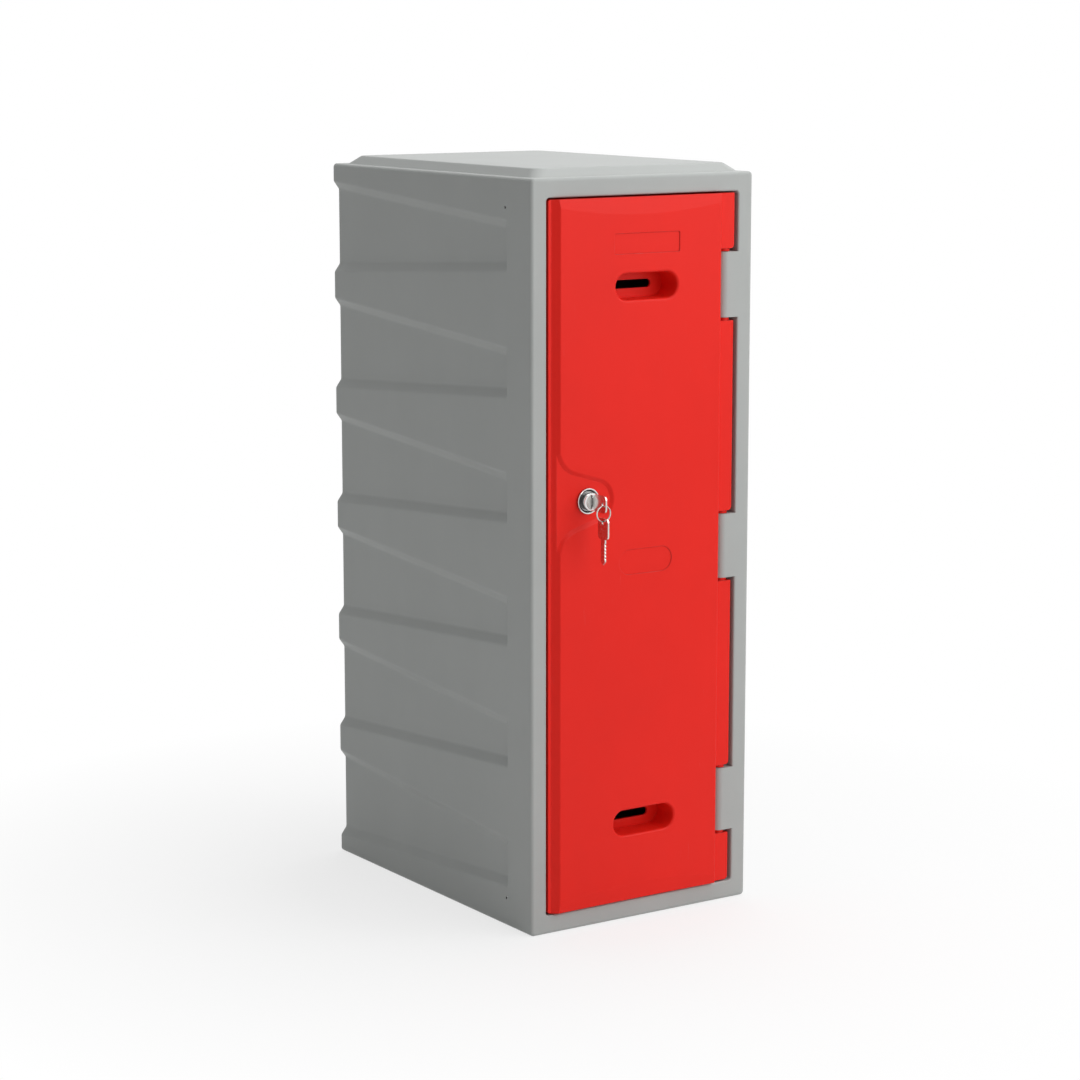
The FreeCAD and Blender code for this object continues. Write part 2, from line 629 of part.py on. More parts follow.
def make_carcass():
    outside = form("carcass_outside", carcass_outside())
    inside = form("carcass_inside", carcass_inside())
    half = "(dims.body_width / 2)"
    length = (Y_FRONT, f"({Y_REAR} + 2 * dims.cut_overrun)")
    below = block("below_floor", (f"-{half}", half), length, ("0", FLOOR))
    skin = cut("carcass_skin", outside, cut("carcass_hollow", inside, below))

    ring = block(
        "frame_return",
        (f"(-{OPENING_HALF} - dims.wall)", f"({OPENING_HALF} + dims.wall)"),
        (f"({Y_FRONT} + dims.wall / 2)", Y_RETURN),
        (f"({FLOOR} - dims.wall / 2)", f"({OPENING_HIGH} + dims.wall)"),
    )
    bosses = [
        lying(f"panel_boss_{i}", "dims.boss_radius", x, (f"({Y_PANEL} - dims.boss_length)", Y_PANEL), z)
        for i, (x, z) in enumerate(boss_places())
    ]
    framed = fuse("carcass_framed", [skin, ring, *bosses])

    low, high = value(OPENING_LOW), value(OPENING_HIGH)
    across = value(OPENING_HALF)
    turn = value("dims.opening_round")
    corners = [(-across, low, turn), (across, low, turn), (across, high, turn), (-across, high, turn)]
    y_start = value(f"{Y_FRONT} - dims.cut_overrun")
    mouth = Part.Face(rounded_wire(corners, lambda u, v: Vector(u, y_start, v)))
    doorway = form("doorway", mouth.extrude(Vector(0, value(Y_STOP) - y_start, 0)))
    past_stop = (f"({Y_STOP} - dims.wall)", f"({Y_RETURN} + dims.cut_overrun)")
    inner_way = block(
        "inner_way",
        (f"(-{OPENING_HALF} + dims.stop_width)", OPENING_HALF), past_stop,
        (f"({OPENING_LOW} + dims.stop_width)", f"({OPENING_HIGH} - dims.stop_width)"),
    )
    hinge_way = block(
        "hinge_way",
        (f"({PANEL_RIGHT} - dims.stop_width)", OPENING_HALF), past_stop,
        (OPENING_LOW, OPENING_HIGH),
    )
    opened = cut("carcass_opened", framed, fuse("opening", [doorway, inner_way, hinge_way]))

    def on_mouth(edge):
        return in_plane(edge, "y", value(Y_FRONT)) and abs(edge.CenterOfMass.x) <= across + turn

    softened = rounded("carcass_softened", opened, value("dims.wall") / 2, on_mouth)

    lugs = []
    for name, place in LUG_PLACES:
        level = lug_level(place)
        span = (f"({level} - dims.lug_height / 2)", f"({level} + dims.lug_height / 2)")
        lugs.append(upright(f"lug_barrel_{name}", "dims.lug_radius", HINGE_X, HINGE_Y, span))
        lugs.append(block(
            f"lug_web_{name}",
            (HINGE_X, f"({OPENING_HALF} + dims.wall / 2)"),
            (Y_FRONT, f"({Y_FRONT} + 2 * dims.lug_radius)"),
            span,
        ))
    lugged = fuse("carcass_lugged", [softened, *lugs])

    pin_bore = "dims.pin_radius + dims.pin_press"
    bores = [upright("pin_bore", pin_bore, HINGE_X, HINGE_Y, (OPENING_LOW, OPENING_HIGH))]
    for name, level in (("low", "dims.joining_inset"), ("high", "(dims.body_height - dims.joining_inset)")):
        bores.append(crosswise(
            f"joining_hole_{name}", "dims.joining_hole / 2",
            (f"(-{half} - dims.cut_overrun)", f"({half} + dims.cut_overrun)"),
            f"({Y_FRONT} + dims.flute_setback)", level,
        ))
    for i, (x, z) in enumerate(boss_places()):
        reach = "(dims.screw_length - dims.panel_thickness + dims.cut_overrun)"
        bores.append(lying(
            f"boss_hole_{i}", "dims.screw_radius + dims.screw_clearance", x,
            (f"({Y_PANEL} - {reach} + dims.cut_overrun)", f"({Y_PANEL} + dims.cut_overrun)"), z,
        ))
    grow = value("dims.stack_clearance")
    rise = value("dims.plateau_rise + dims.stack_clearance")
    bores.append(form("stacking_recess", plateau_form(grow, 0, rise)))
    carcass = cut("carcass", lugged, fuse("carcass_bores", bores))
    carcass.Label = "carcass"


# Screws run forward from their heads.
FORWARD = Vector(0, -1, 0)


def cross_recess(start):
    """Cross in the head of a screw whose flat end lies at start."""
    length, width = value("dims.cross_length"), value("dims.cross_width")
    depth = value("dims.cross_depth")
    corner = start + FORWARD * depth
    level = Part.makeBox(length, depth, width, corner - Vector(length / 2, 0, width / 2))
    plumb = Part.makeBox(width, depth, length, corner - Vector(width / 2, 0, length / 2))
    return level.fuse(plumb)


def countersunk_screws(label, places, y_head, length):
    """Group of countersunk screws along Y, their heads flush with y_head."""
    radius = value("dims.screw_radius")
    depth = value("dims.screw_head_depth")
    screws = []
    for x, z in places:
        start = Vector(value(x), value(y_head), value(z))
        head = Part.makeCone(value("dims.screw_head_radius"), radius, depth, start, FORWARD)
        shank = Part.makeCylinder(radius, length - depth, start + FORWARD * depth, FORWARD)
        screws.append(head.fuse(shank).removeSplitter().cut(cross_recess(start)))
    form(label, Part.makeCompound(screws)).Label = label


def countersunk_holes(name, places, y_head, length):
    """Clearance holes for a group of countersunk screws."""
    radius = value("dims.screw_radius + dims.screw_clearance")
    head_radius = value("dims.screw_head_radius + dims.screw_clearance")
    depth = value("dims.screw_head_depth")
    holes = []
    for x, z in places:
        start = Vector(value(x), value(y_head), value(z))
        head = Part.makeCone(head_radius, radius, depth, start, FORWARD)
        shank = Part.makeCylinder(radius, length, start, FORWARD)
        holes.append(head.fuse(shank))
    return form(name, Part.makeCompound(holes))


def make_back_panel():
    inset = value("dims.wall + dims.panel_clearance")
    outline = section(rear_corners(inset), value(Y_PANEL))
    thickness = value("dims.panel_thickness")
    sheet = form("back_sheet", Part.Face(outline).extrude(Vector(0, thickness, 0)))
    half = "(dims.body_width / 2)"
    past = (f"({Y_PANEL} - dims.cut_overrun)", f"({Y_REAR} + dims.cut_overrun)")
    foot = block("below_panel", (f"-{half}", half), past, ("0", f"({FLOOR} + dims.panel_clearance)"))
    trimmed = cut("back_trimmed", sheet, foot)
    holes = countersunk_holes("back_holes", boss_places(), Y_REAR, 2 * thickness)
    panel = cut("back_panel", trimmed, holes)
    panel.Label = "back_panel"
    countersunk_screws("back_panel_screws", boss_places(), Y_REAR, value("dims.screw_length"))


# Door: a tray with a raised face, a hinge strip with notches for the lugs, and a flat liner behind.

def bevel_ends(body):
    """Bevel the top and bottom of the door face with shallow cones, which leave inward bows on the face."""
    half_chord = f"(({PANEL_RIGHT} - {FACE_LEFT}) / 2)"
    bow = f"(({half_chord} ^ 2 / dims.bevel_sag + dims.bevel_sag) / 2)"
    drop = f"({bow} - dims.bevel_sag)"
    for name, apex in (("bottom_bevel", f"{FACE_LOW} - {drop}"), ("top_bevel", f"{FACE_HIGH} + {drop}")):
        cone = body.newObject("PartDesign::SubtractiveCone", name)
        cone.Placement = FreeCAD.Placement(Vector(), FreeCAD.Rotation(Vector(1, 0, 0), -90))
        bind(cone, {
            "Radius1": f"{bow} + dims.cut_overrun / tan(dims.bevel_slope)",
            "Radius2": f"{bow} - dims.face_rise / tan(dims.bevel_slope)",
            "Height": "dims.cut_overrun + dims.face_rise",
            "Placement.Base.x": f"({FACE_LEFT} + {PANEL_RIGHT}) / 2",
            "Placement.Base.y": f"{Y_FACE} - dims.cut_overrun",
            "Placement.Base.z": apex,
        })
        doc.recompute()


def draw_hollow(sketch, left, right, low, high):
    """Outline of the door's hollow, which leaves a solid block round the lock scoop."""
    margin = "dims.lock_block_margin"
    block_right = f"({LOCK_X} + dims.scoop_nose_offset + dims.scoop_nose + {margin})"
    reach = f"({scoop_flare_height()} + dims.scoop_flare + {margin})"
    draw_polygon(sketch, [
        (left, low), (right, low), (right, high), (left, high),
        (left, f"({LOCK_Z} + {reach})"), (block_right, f"({LOCK_Z} + {reach})"),
        (block_right, f"({LOCK_Z} - {reach})"), (left, f"({LOCK_Z} - {reach})"),
    ])


def scoop_flare_height():
    """Height of the scoop's flank over the lock axis at the corner where it flares out."""
    return (f"(dims.scoop_nose / cos(dims.scoop_flank) + ({LOCK_X} + dims.scoop_nose_offset"
            f" - {FACE_LEFT} - dims.scoop_flare_inset) * tan(dims.scoop_flank))")


def scoop_outline(y, shrink):
    """Outline of the scoop at a place along Y, drawn in by its sloping wall."""
    flank = math.radians(value("dims.scoop_flank"))
    lean = math.radians(value("dims.scoop_lean"))
    nose = value("dims.scoop_nose") - shrink
    nose_x = value(f"{LOCK_X} + dims.scoop_nose_offset")
    flare_x = value(f"{FACE_LEFT} + dims.scoop_flare_inset")
    flare_z = value(scoop_flare_height())
    far_x = value(f"{DOOR_LEFT} - dims.cut_overrun") - shrink
    level = value(LOCK_Z)

    def flank_height(x):
        return nose / math.cos(flank) - (x - nose_x) * math.tan(flank)

    # The flared end is a line through the flare corner that leans towards the lock edge.
    lean_x = flare_x - shrink / math.cos(lean)
    slopes = math.tan(flank) * math.tan(lean)
    corner_x = (lean_x - (flank_height(0) - flare_z) * math.tan(lean)) / (1 - slopes)
    corner_z = flank_height(corner_x)
    far_z = flare_z + (lean_x - far_x) / math.tan(lean)
    tip_x = nose_x + nose / math.sin(flank)
    flare = value("dims.scoop_flare") + shrink
    far_round = value("dims.least_round")
    corners = [
        (far_x, level + far_z, far_round), (far_x, level - far_z, far_round),
        (corner_x, level - corner_z, flare), (tip_x, level, nose), (corner_x, level + corner_z, flare),
    ]
    return rounded_wire(corners, lambda across, up: Vector(across, y, up))


def lock_placement():
    """Place of the lock: its seat on the floor of the scoop."""
    return FreeCAD.Placement(Vector(value(LOCK_X), value(LOCK_Y), value(LOCK_Z)), FreeCAD.Rotation())


def along_lock(radius, start, end):
    """Cylinder along the lock axis, between two distances from the seat."""
    shape = Part.makeCylinder(radius, end - start, Vector(0, start, 0), Vector(0, 1, 0))
    shape.Placement = lock_placement()
    return shape


def scoop_form():
    """Finger scoop round the lock: walls that slope down to a flat floor."""
    slope = math.tan(math.radians(value("dims.scoop_slope")))
    depths = (-value("dims.cut_overrun / 2"), value("dims.lock_sink"))
    outlines = [scoop_outline(value(Y_FACE) + depth, depth / slope) for depth in depths]
    return Part.makeLoft(outlines, True, True)


def make_door_front():
    body = new_body("door_moulding")
    tray = front_sketch(body, "door_tray", Y_TRAY)
    draw_rectangle(tray, (DOOR_LEFT, DOOR_RIGHT), (DOOR_LOW, DOOR_HIGH))
    pad(body, tray, "dims.door_depth")
    ends = (value(DOOR_LOW), value(DOOR_HIGH))
    left = value(DOOR_LEFT)
    soften(body, "tray_softened", "dims.door_corner", lambda edge: on_corner(edge, left, ends))

    profile = plan_sketch(body, "face_profile", DOOR_LOW)
    draw_polygon(profile, [
        (f"{DOOR_LEFT} + dims.edge_flange", Y_EDGE), (PANEL_RIGHT, Y_EDGE),
        (PANEL_RIGHT, Y_FACE), (FACE_LEFT, Y_FACE),
    ])
    pad(body, profile, f"{DOOR_HIGH} - {DOOR_LOW}")
    y_face = value(Y_FACE)
    face_sides = (value(FACE_LEFT), value(PANEL_RIGHT))

    def on_face_side(edge):
        return in_plane(edge, "y", y_face) and any(in_plane(edge, "x", x) for x in face_sides)

    soften(body, "face_softened", "dims.face_round", on_face_side)
    bevel_ends(body)

    inner = (f"{DOOR_LEFT} + dims.door_skin", f"{PANEL_RIGHT} - dims.door_skin")
    hollow = front_sketch(body, "tray_hollow", Y_TRAY)
    draw_hollow(hollow, *inner, f"{DOOR_LOW} + dims.door_skin", f"{DOOR_HIGH} - dims.door_skin")
    pocket(body, hollow, "dims.door_depth - dims.door_skin", reverse=True)
    deep = front_sketch(body, "face_hollow", Y_TRAY)
    draw_hollow(deep, FACE_LEFT, inner[1], f"{FACE_LOW} + dims.bevel_sag", f"{FACE_HIGH} - dims.bevel_sag")
    pocket(body, deep, "dims.door_depth + dims.face_rise - dims.door_skin", reverse=True)

    tunnels = front_sketch(body, "pull_tunnels", Y_TRAY)
    for level in PULL_LEVELS:
        length = "(dims.pull_length + 2 * dims.door_skin)"
        draw_stadium(tunnels, "0", level, length, "(dims.pull_height + 2 * dims.door_skin)")
    pad(body, tunnels, "dims.door_depth + dims.face_rise - dims.door_skin / 2")
    bosses = front_sketch(body, "liner_bosses", Y_TRAY)
    for x, z in liner_screw_places():
        draw_circle(bosses, x, z, "dims.liner_boss_radius")
    pad(body, bosses, "dims.door_depth - dims.door_skin / 2")

    pulls = front_sketch(body, "finger_pulls", Y_FACE)
    for level in PULL_LEVELS:
        draw_stadium(pulls, "0", level, "dims.pull_length", "dims.pull_height")
    pocket(body, pulls, "dims.door_depth + dims.face_rise")

    def on_pull_rim(edge):
        middle = edge.CenterOfMass
        reach = value("dims.pull_height")
        near_pull = any(abs(middle.z - value(level)) <= reach for level in PULL_LEVELS)
        return in_plane(edge, "y", y_face) and near_pull and abs(middle.x) <= value("dims.pull_length / 2")

    soften(body, "pulls_softened", "dims.pull_round", on_pull_rim)

    label = front_sketch(body, "label_recess", Y_FACE)
    label_level = f"({DOOR_HIGH} - dims.label_top)"
    draw_rectangle(
        label, ("-dims.label_width / 2", "dims.label_width / 2"),
        (f"{label_level} - dims.label_height / 2", f"{label_level} + dims.label_height / 2"))
    pocket(body, label, "dims.label_depth")
    label_ends = [value(f"{label_level} {sign} dims.label_height / 2") for sign in "+-"]
    label_half = value("dims.label_width / 2")

    def on_label_corner(edge):
        return on_corner(edge, label_half, label_ends) or on_corner(edge, -label_half, label_ends)

    soften(body, "label_softened", "dims.label_round", on_label_corner)
    number = front_sketch(body, "number_recess", Y_FACE)
    number_level = f"({DOOR_LOW} + dims.number_level)"
    draw_stadium(number, "0", number_level, "dims.number_width", "dims.number_height")
    pocket(body, number, "dims.number_depth")

    notches = front_sketch(body, "lug_notches", f"{Y_FACE} - dims.cut_overrun")
    half_notch = "(dims.lug_height / 2 + dims.notch_gap)"
    strip_feet = [value(DOOR_LOW)]
    for _, place in LUG_PLACES:
        level = lug_level(place)
        draw_rectangle(
            notches, (PANEL_RIGHT, f"{DOOR_RIGHT} + dims.cut_overrun"),
            (f"{level} - {half_notch}", f"{level} + {half_notch}"))
        strip_feet.append(value(f"{level} + {half_notch}"))
    pocket(body, notches, "dims.door_depth + dims.face_rise + 2 * dims.cut_overrun")
    right = value(DOOR_RIGHT)
    soften(body, "strip_softened", "dims.strip_round", lambda edge: on_corner(edge, right, strip_feet))
    for name, place in LUG_PLACES:
        for side, sign in (("under", "-"), ("over", "+")):
            end = f"{lug_level(place)} {sign} {half_notch}"
            collar = plan_sketch(body, f"collar_{side}_{name}", end)
            draw_circle(collar, HINGE_X, HINGE_Y, "dims.collar_radius")
            pad(body, collar, "dims.notch_gap - dims.collar_clearance", reverse=(side == "over"))
    bore = plan_sketch(body, "pin_bores", DOOR_LOW)
    draw_circle(bore, HINGE_X, HINGE_Y, "dims.pin_radius + dims.pin_clearance")
    pocket(body, bore, f"{DOOR_HIGH} - {DOOR_LOW}", reverse=True)

    past_door = value("dims.body_depth / 2")
    barrel = value("dims.barrel_radius + dims.barrel_clearance")
    lock_hole = along_lock(barrel, -value("dims.cut_overrun"), past_door)
    nut_pocket = along_lock(value("dims.nut_pocket_radius"), value("dims.seat_thickness"), past_door)
    screw_depth = value("dims.liner_screw_length + dims.seat_clearance")
    screw_holes = countersunk_holes("door_screw_holes", liner_screw_places(), Y_LINER, screw_depth)
    scoop = form("lock_scoop", scoop_form())
    scooped = cut("door_scooped", body, scoop)

    def on_scoop_rim(edge):
        middle = edge.CenterOfMass
        reach = value(f"{scoop_flare_height()} + dims.scoop_flare")
        right = value(f"{LOCK_X} + dims.scoop_nose_offset + dims.scoop_nose")
        near_lock = abs(middle.z - value(LOCK_Z)) < reach and middle.x <= right
        long_side = edge.Length > 2 * reach
        return in_plane(edge, "y", y_face) and near_lock and not long_side

    softened = rounded("scoop_softened", scooped, value("dims.scoop_round"), on_scoop_rim)
    holes = fuse("door_holes", [form("lock_hole", lock_hole), form("nut_pocket", nut_pocket), screw_holes])
    door = cut("door_front", softened, holes)
    door.Label = "door_front"


def liner_screw_places():
    """Places of the door liner's screws, in two columns."""
    rows = round(value("dims.liner_screw_rows"))
    step = f"(({DOOR_HIGH} - {DOOR_LOW} - 2 * dims.liner_screw_end) / (dims.liner_screw_rows - 1))"
    columns = (f"({DOOR_LEFT} + dims.liner_screw_inset)", f"({PANEL_RIGHT} - dims.liner_screw_inset)")
    levels = [f"({DOOR_LOW} + dims.liner_screw_end + {i} * {step})" for i in range(rows)]
    return [(x, z) for x in columns for z in levels]


def make_door_liner():
    body = new_body("liner_sheet")
    sheet = front_sketch(body, "liner_outline", Y_LINER)
    draw_rectangle(sheet, (DOOR_LEFT, PANEL_RIGHT), (DOOR_LOW, DOOR_HIGH))
    pad(body, sheet, "dims.liner_thickness")
    vents = front_sketch(body, "vent_slits", Y_TRAY)
    for level in PULL_LEVELS:
        draw_stadium(vents, "0", level, "dims.vent_length", "dims.vent_height")
    pocket(body, vents, "dims.liner_thickness")
    passage = front_sketch(body, "barrel_passage", Y_TRAY)
    draw_circle(passage, LOCK_X, LOCK_Z, "dims.barrel_radius + dims.liner_thickness")
    pocket(body, passage, "dims.liner_thickness")
    past_liner = value("2 * dims.liner_thickness")
    holes = countersunk_holes("liner_holes", liner_screw_places(), Y_LINER, past_liner)
    liner = cut("door_liner", body, holes)
    liner.Label = "door_liner"
    screw_length = value("dims.liner_screw_length")
    countersunk_screws("door_liner_screws", liner_screw_places(), Y_LINER, screw_length)


def make_hinge_pins():
    size = value("dims.pin_chamfer")
    half = "(dims.lug_height / 2 + dims.notch_gap + dims.pin_reach)"
    for name, place in LUG_PLACES:
        level = lug_level(place)
        span = (f"({level} - {half})", f"({level} + {half})")
        rod = upright(f"pin_rod_{name}", "dims.pin_radius", HINGE_X, HINGE_Y, span)
        doc.recompute()
        pin = doc.addObject("Part::Chamfer", f"hinge_pin_{name}")
        pin.Base = rod
        edges = enumerate(rod.Shape.Edges, start=1)
        pin.Edges = [(i, size, size) for i, edge in edges if in_plane(edge, "z", edge.CenterOfMass.z)]
        pin.Label = f"hinge_pin_{name}"


# Lock, in its own frame: the seat at the origin, the axis along Y, positive into the door.

def lock_body(label):
    body = new_body(label)
    body.Placement = lock_placement()
    return body


def turned(body, name, corners):
    """Turn an outline of (radius, distance along the axis) expressions about the lock axis."""
    sketch = plan_sketch(body, name, "0")
    draw_polygon(sketch, corners)
    return revolve(body, sketch)


def make_lock():
    ring = lock_body("lock_escutcheon")
    bore = "dims.barrel_radius + dims.barrel_clearance"
    turned(ring, "dish_profile", [
        (bore, "0"), ("dims.dish_radius", "0"),
        ("dims.dish_radius", "-dims.dish_height"), ("dims.dish_radius - dims.dish_rim", "-dims.dish_height"),
        ("dims.head_radius + dims.dish_rim", "-dims.dish_floor"), (bore, "-dims.dish_floor"),
    ])

    housing = lock_body("lock_housing")
    plug_bore = "dims.plug_radius + dims.plug_clearance"
    turned(housing, "housing_profile", [
        (plug_bore, HEAD_FACE), ("dims.head_radius - dims.head_chamfer", HEAD_FACE),
        ("dims.head_radius", f"{HEAD_FACE} + dims.head_chamfer"), ("dims.head_radius", "-dims.dish_floor"),
        ("dims.barrel_radius", "-dims.dish_floor"), ("dims.barrel_radius", BARREL_END),
        (plug_bore, BARREL_END),
    ])

    washer = lock_body("lock_tooth_washer")
    start = "dims.seat_thickness"
    seat = f"({start} + dims.washer_thickness)"
    turned(washer, "tooth_washer_profile", [
        (bore, start), ("dims.washer_radius", start), ("dims.washer_radius", seat), (bore, seat),
    ])
    gap = front_sketch(washer, "tooth_gap", start)
    draw_rectangle(
        gap, ("dims.washer_radius - dims.tooth_length", "dims.washer_radius + dims.tooth_length"),
        ("-dims.tooth_gap / 2", "dims.tooth_gap / 2"))
    teeth = washer.newObject("PartDesign::PolarPattern", "teeth")
    teeth.Originals = [pocket(washer, gap, "dims.washer_thickness")]
    teeth.Axis = (gap, ["N_Axis"])
    teeth.Angle = 360
    teeth.setExpression("Occurrences", "dims.tooth_count")
    washer.Tip = teeth
    doc.recompute()

    nut = lock_body("lock_nut")
    hexagon = front_sketch(nut, "nut_outline", f"{seat} + dims.nut_thickness")
    corner = "dims.nut_flats / 2 / cos(30)"
    draw_polygon(hexagon, [(f"{corner} * cos({60 * i})", f"{corner} * sin({60 * i})") for i in range(6)])
    pad(nut, hexagon, "dims.nut_thickness")
    thread = front_sketch(nut, "nut_bore", seat)
    draw_circle(thread, "0", "0", bore)
    pocket(nut, thread, "dims.nut_thickness")

    plug = lock_body("lock_plug")
    core = front_sketch(plug, "plug_core", BARREL_END)
    draw_circle(core, "0", "0", "dims.plug_radius")
    pad(plug, core, f"{BARREL_END} - {HEAD_FACE}")
    tang = front_sketch(plug, "plug_tang", BARREL_END)
    half = "dims.tang_width / 2"
    draw_rectangle(tang, (f"-{half}", half), (f"-{half}", half))
    pad(plug, tang, f"{CAM_BACK} - {BARREL_END}", reverse=True)
    keyway = front_sketch(plug, "keyway", HEAD_FACE)
    slot_x = "(dims.key_thickness / 2 + dims.key_clearance)"
    slot_z = "(dims.blade_width / 2 + dims.key_clearance)"
    draw_rectangle(keyway, (f"-{slot_x}", slot_x), (f"-{slot_z}", slot_z))
    pocket(plug, keyway, "dims.keyway_length")
    tapping = front_sketch(plug, "plug_tapping", CAM_BACK)
    draw_circle(tapping, "0", "0", "dims.cam_screw_radius + dims.screw_clearance")
    pocket(plug, tapping, "dims.cam_screw_length + dims.seat_clearance", reverse=True)

    square = "dims.tang_width / 2 + dims.tang_clearance"
    stop = lock_body("lock_stop_washer")
    disc = front_sketch(stop, "stop_disc", CAM_FACE)
    draw_circle(disc, "0", "0", "dims.cam_hub_radius")
    pad(stop, disc, "dims.washer_thickness")
    opening = front_sketch(stop, "stop_square", BARREL_END)
    draw_rectangle(opening, (f"-({square})", square), (f"-({square})", square))
    pocket(stop, opening, "dims.washer_thickness + dims.cam_thickness")

    cam = lock_body("lock_cam")
    arm = front_sketch(cam, "cam_arm", CAM_BACK)
    draw_stadium_down(arm)
    pad(cam, arm, "dims.cam_thickness")
    opening = front_sketch(cam, "cam_square", CAM_FACE)
    draw_rectangle(opening, (f"-({square})", square), (f"-({square})", square))
    pocket(cam, opening, "dims.cam_thickness")

    screw = lock_body("lock_cam_screw")
    screw_tip = f"{CAM_BACK} - dims.cam_screw_length"
    screw_top = f"{CAM_BACK} + dims.cam_screw_head"
    turned(screw, "cam_screw_profile", [
        ("0", screw_tip), ("dims.cam_screw_radius", screw_tip),
        ("dims.cam_screw_radius", CAM_BACK), ("dims.cam_screw_head_radius", CAM_BACK),
        ("dims.cam_screw_head_radius", screw_top), ("0", screw_top),
    ])
    cross = front_sketch(screw, "cam_screw_cross", screw_top)
    draw_cross(cross, "dims.cross_length / 2", "dims.cross_width / 2")
    pocket(screw, cross, "dims.cross_depth", reverse=True)


def draw_cross(sketch, reach, half):
    """Upright cross about the sketch's origin, with arms of a given reach and half width."""
    draw_polygon(sketch, [
        (half, f"-{reach}"), (half, f"-{half}"), (reach, f"-{half}"),
        (reach, half), (half, half), (half, reach),
        (f"-{half}", reach), (f"-{half}", half), (f"-{reach}", half),
        (f"-{reach}", f"-{half}"), (f"-{half}", f"-{half}"), (f"-{half}", f"-{reach}"),
    ])


def draw_stadium_down(sketch):
    """Outline of the cam: a round hub and a straight arm that hangs down from it."""
    arm = "dims.cam_width / 2"
    shoulder = f"sqrt(dims.cam_hub_radius ^ 2 - ({arm}) ^ 2)"
    hub = value("dims.cam_hub_radius")
    half = value(arm)
    lean = math.asin(half / hub)
    circle = Part.Circle(Vector(), Vector(0, 0, 1), hub)
    start = -math.pi / 2 + lean
    arc = sketch.addGeometry(Part.ArcOfCircle(circle, start, 3 * math.pi / 2 - lean))
    drop = -value(shoulder)
    end = -value(CAM_REACH)
    left = sketch.addGeometry(Part.LineSegment(Vector(-half, drop, 0), Vector(-half, end, 0)))
    tip = sketch.addGeometry(Part.LineSegment(Vector(-half, end, 0), Vector(half, end, 0)))
    right = sketch.addGeometry(Part.LineSegment(Vector(half, end, 0), Vector(half, drop, 0)))
    for joint in ((arc, 2, left, 1), (left, 2, tip, 1), (tip, 2, right, 1), (right, 2, arc, 1)):
        sketch.addConstraint(Sketcher.Constraint("Coincident", *joint))
    hold(sketch, "DistanceX", arc, 3, "0")
    hold(sketch, "DistanceY", arc, 3, "0")
    hold_radius(sketch, arc, "dims.cam_hub_radius")
    for point, across in ((1, f"-{arm}"), (2, arm)):
        hold(sketch, "DistanceX", tip, point, across)
        hold(sketch, "DistanceY", tip, point, f"-{CAM_REACH}")
    hold(sketch, "DistanceX", left, 1, f"-{arm}")
    hold(sketch, "DistanceX", right, 2, arm)


# Keys, each drawn with its shoulder at the origin: the blade along +Y, the bow along -Y.

def make_key(label, placement):
    body = new_body(label)
    outline = sketch_on(body, f"{label}_outline", "YZ_Plane", "-dims.key_thickness / 2")
    blade = "dims.blade_width / 2"
    bow = "dims.bow_width / 2"
    neck = "-dims.neck_length"
    end = "-(dims.neck_length + dims.bow_length)"
    draw_polygon(outline, [
        (end, f"-{bow}"), (neck, f"-{bow}"), (neck, f"-{blade}"),
        ("dims.blade_length - dims.blade_width / 2", f"-{blade}"), ("dims.blade_length", "0"),
        ("dims.blade_length - dims.blade_width / 2", blade), (neck, blade), (neck, bow), (end, bow),
    ])
    pad(body, outline, "dims.key_thickness")
    bow_sides = (value(f"-{bow}"), value(bow))

    def on_bow_corner(edge):
        at_end = any(in_plane(edge, "y", value(y)) for y in (end, neck))
        return at_end and any(in_plane(edge, "z", z) for z in bow_sides)

    soften(body, f"{label}_bow", "dims.bow_round", on_bow_corner)
    hole = sketch_on(body, f"{label}_hole", "YZ_Plane", "dims.key_thickness / 2")
    draw_circle(hole, f"-{RING_HOLE_OUT}", "0", "dims.ring_hole_radius")
    pocket(body, hole, "dims.key_thickness")
    cuts = sketch_on(body, f"{label}_cuts", "YZ_Plane", "dims.key_thickness / 2")
    for i in range(1, round(value("dims.cut_count")) + 1):
        middle = f"{i} * dims.cut_pitch"
        draw_polygon(cuts, [
            (f"{middle} - dims.cut_depth", f"-{blade}"), (middle, f"-{blade} + dims.cut_depth"),
            (f"{middle} + dims.cut_depth", f"-{blade}"),
        ])
    pocket(body, cuts, "dims.key_thickness")
    groove = sketch_on(body, f"{label}_groove", "YZ_Plane", "dims.key_thickness / 2")
    draw_rectangle(
        groove, ("0", "dims.blade_length + dims.groove_width"),
        ("-dims.groove_width / 2", "dims.groove_width / 2"))
    pocket(body, groove, "dims.groove_depth")
    body.Placement = placement


def make_keys():
    lock = lock_placement()
    shoulder = Vector(0, value(KEY_SHOULDER), 0)
    make_key("key", lock.multiply(FreeCAD.Placement(shoulder, FreeCAD.Rotation())))

    hole = shoulder - Vector(0, value(RING_HOLE_OUT), 0)
    drop = value(WIRE_DROP)
    middle = hole - Vector(0, 0, drop + value("dims.ring_radius"))
    ring = doc.addObject("Part::Torus", "key_ring")
    bind(ring, {"Radius1": "dims.ring_radius", "Radius2": "dims.ring_wire"})
    facing = FreeCAD.Rotation(Vector(1, 0, 0), -90)
    ring.Placement = lock.multiply(FreeCAD.Placement(middle, facing))
    ring.Label = "key_ring"

    spare_hole = middle - Vector(0, 0, value("dims.ring_radius") + drop)
    hanging = FreeCAD.Rotation(Vector(1, 0, 0), -90)
    spare_shoulder = spare_hole - Vector(0, 0, value(RING_HOLE_OUT))
    make_key("spare_key", lock.multiply(FreeCAD.Placement(spare_shoulder, hanging)))


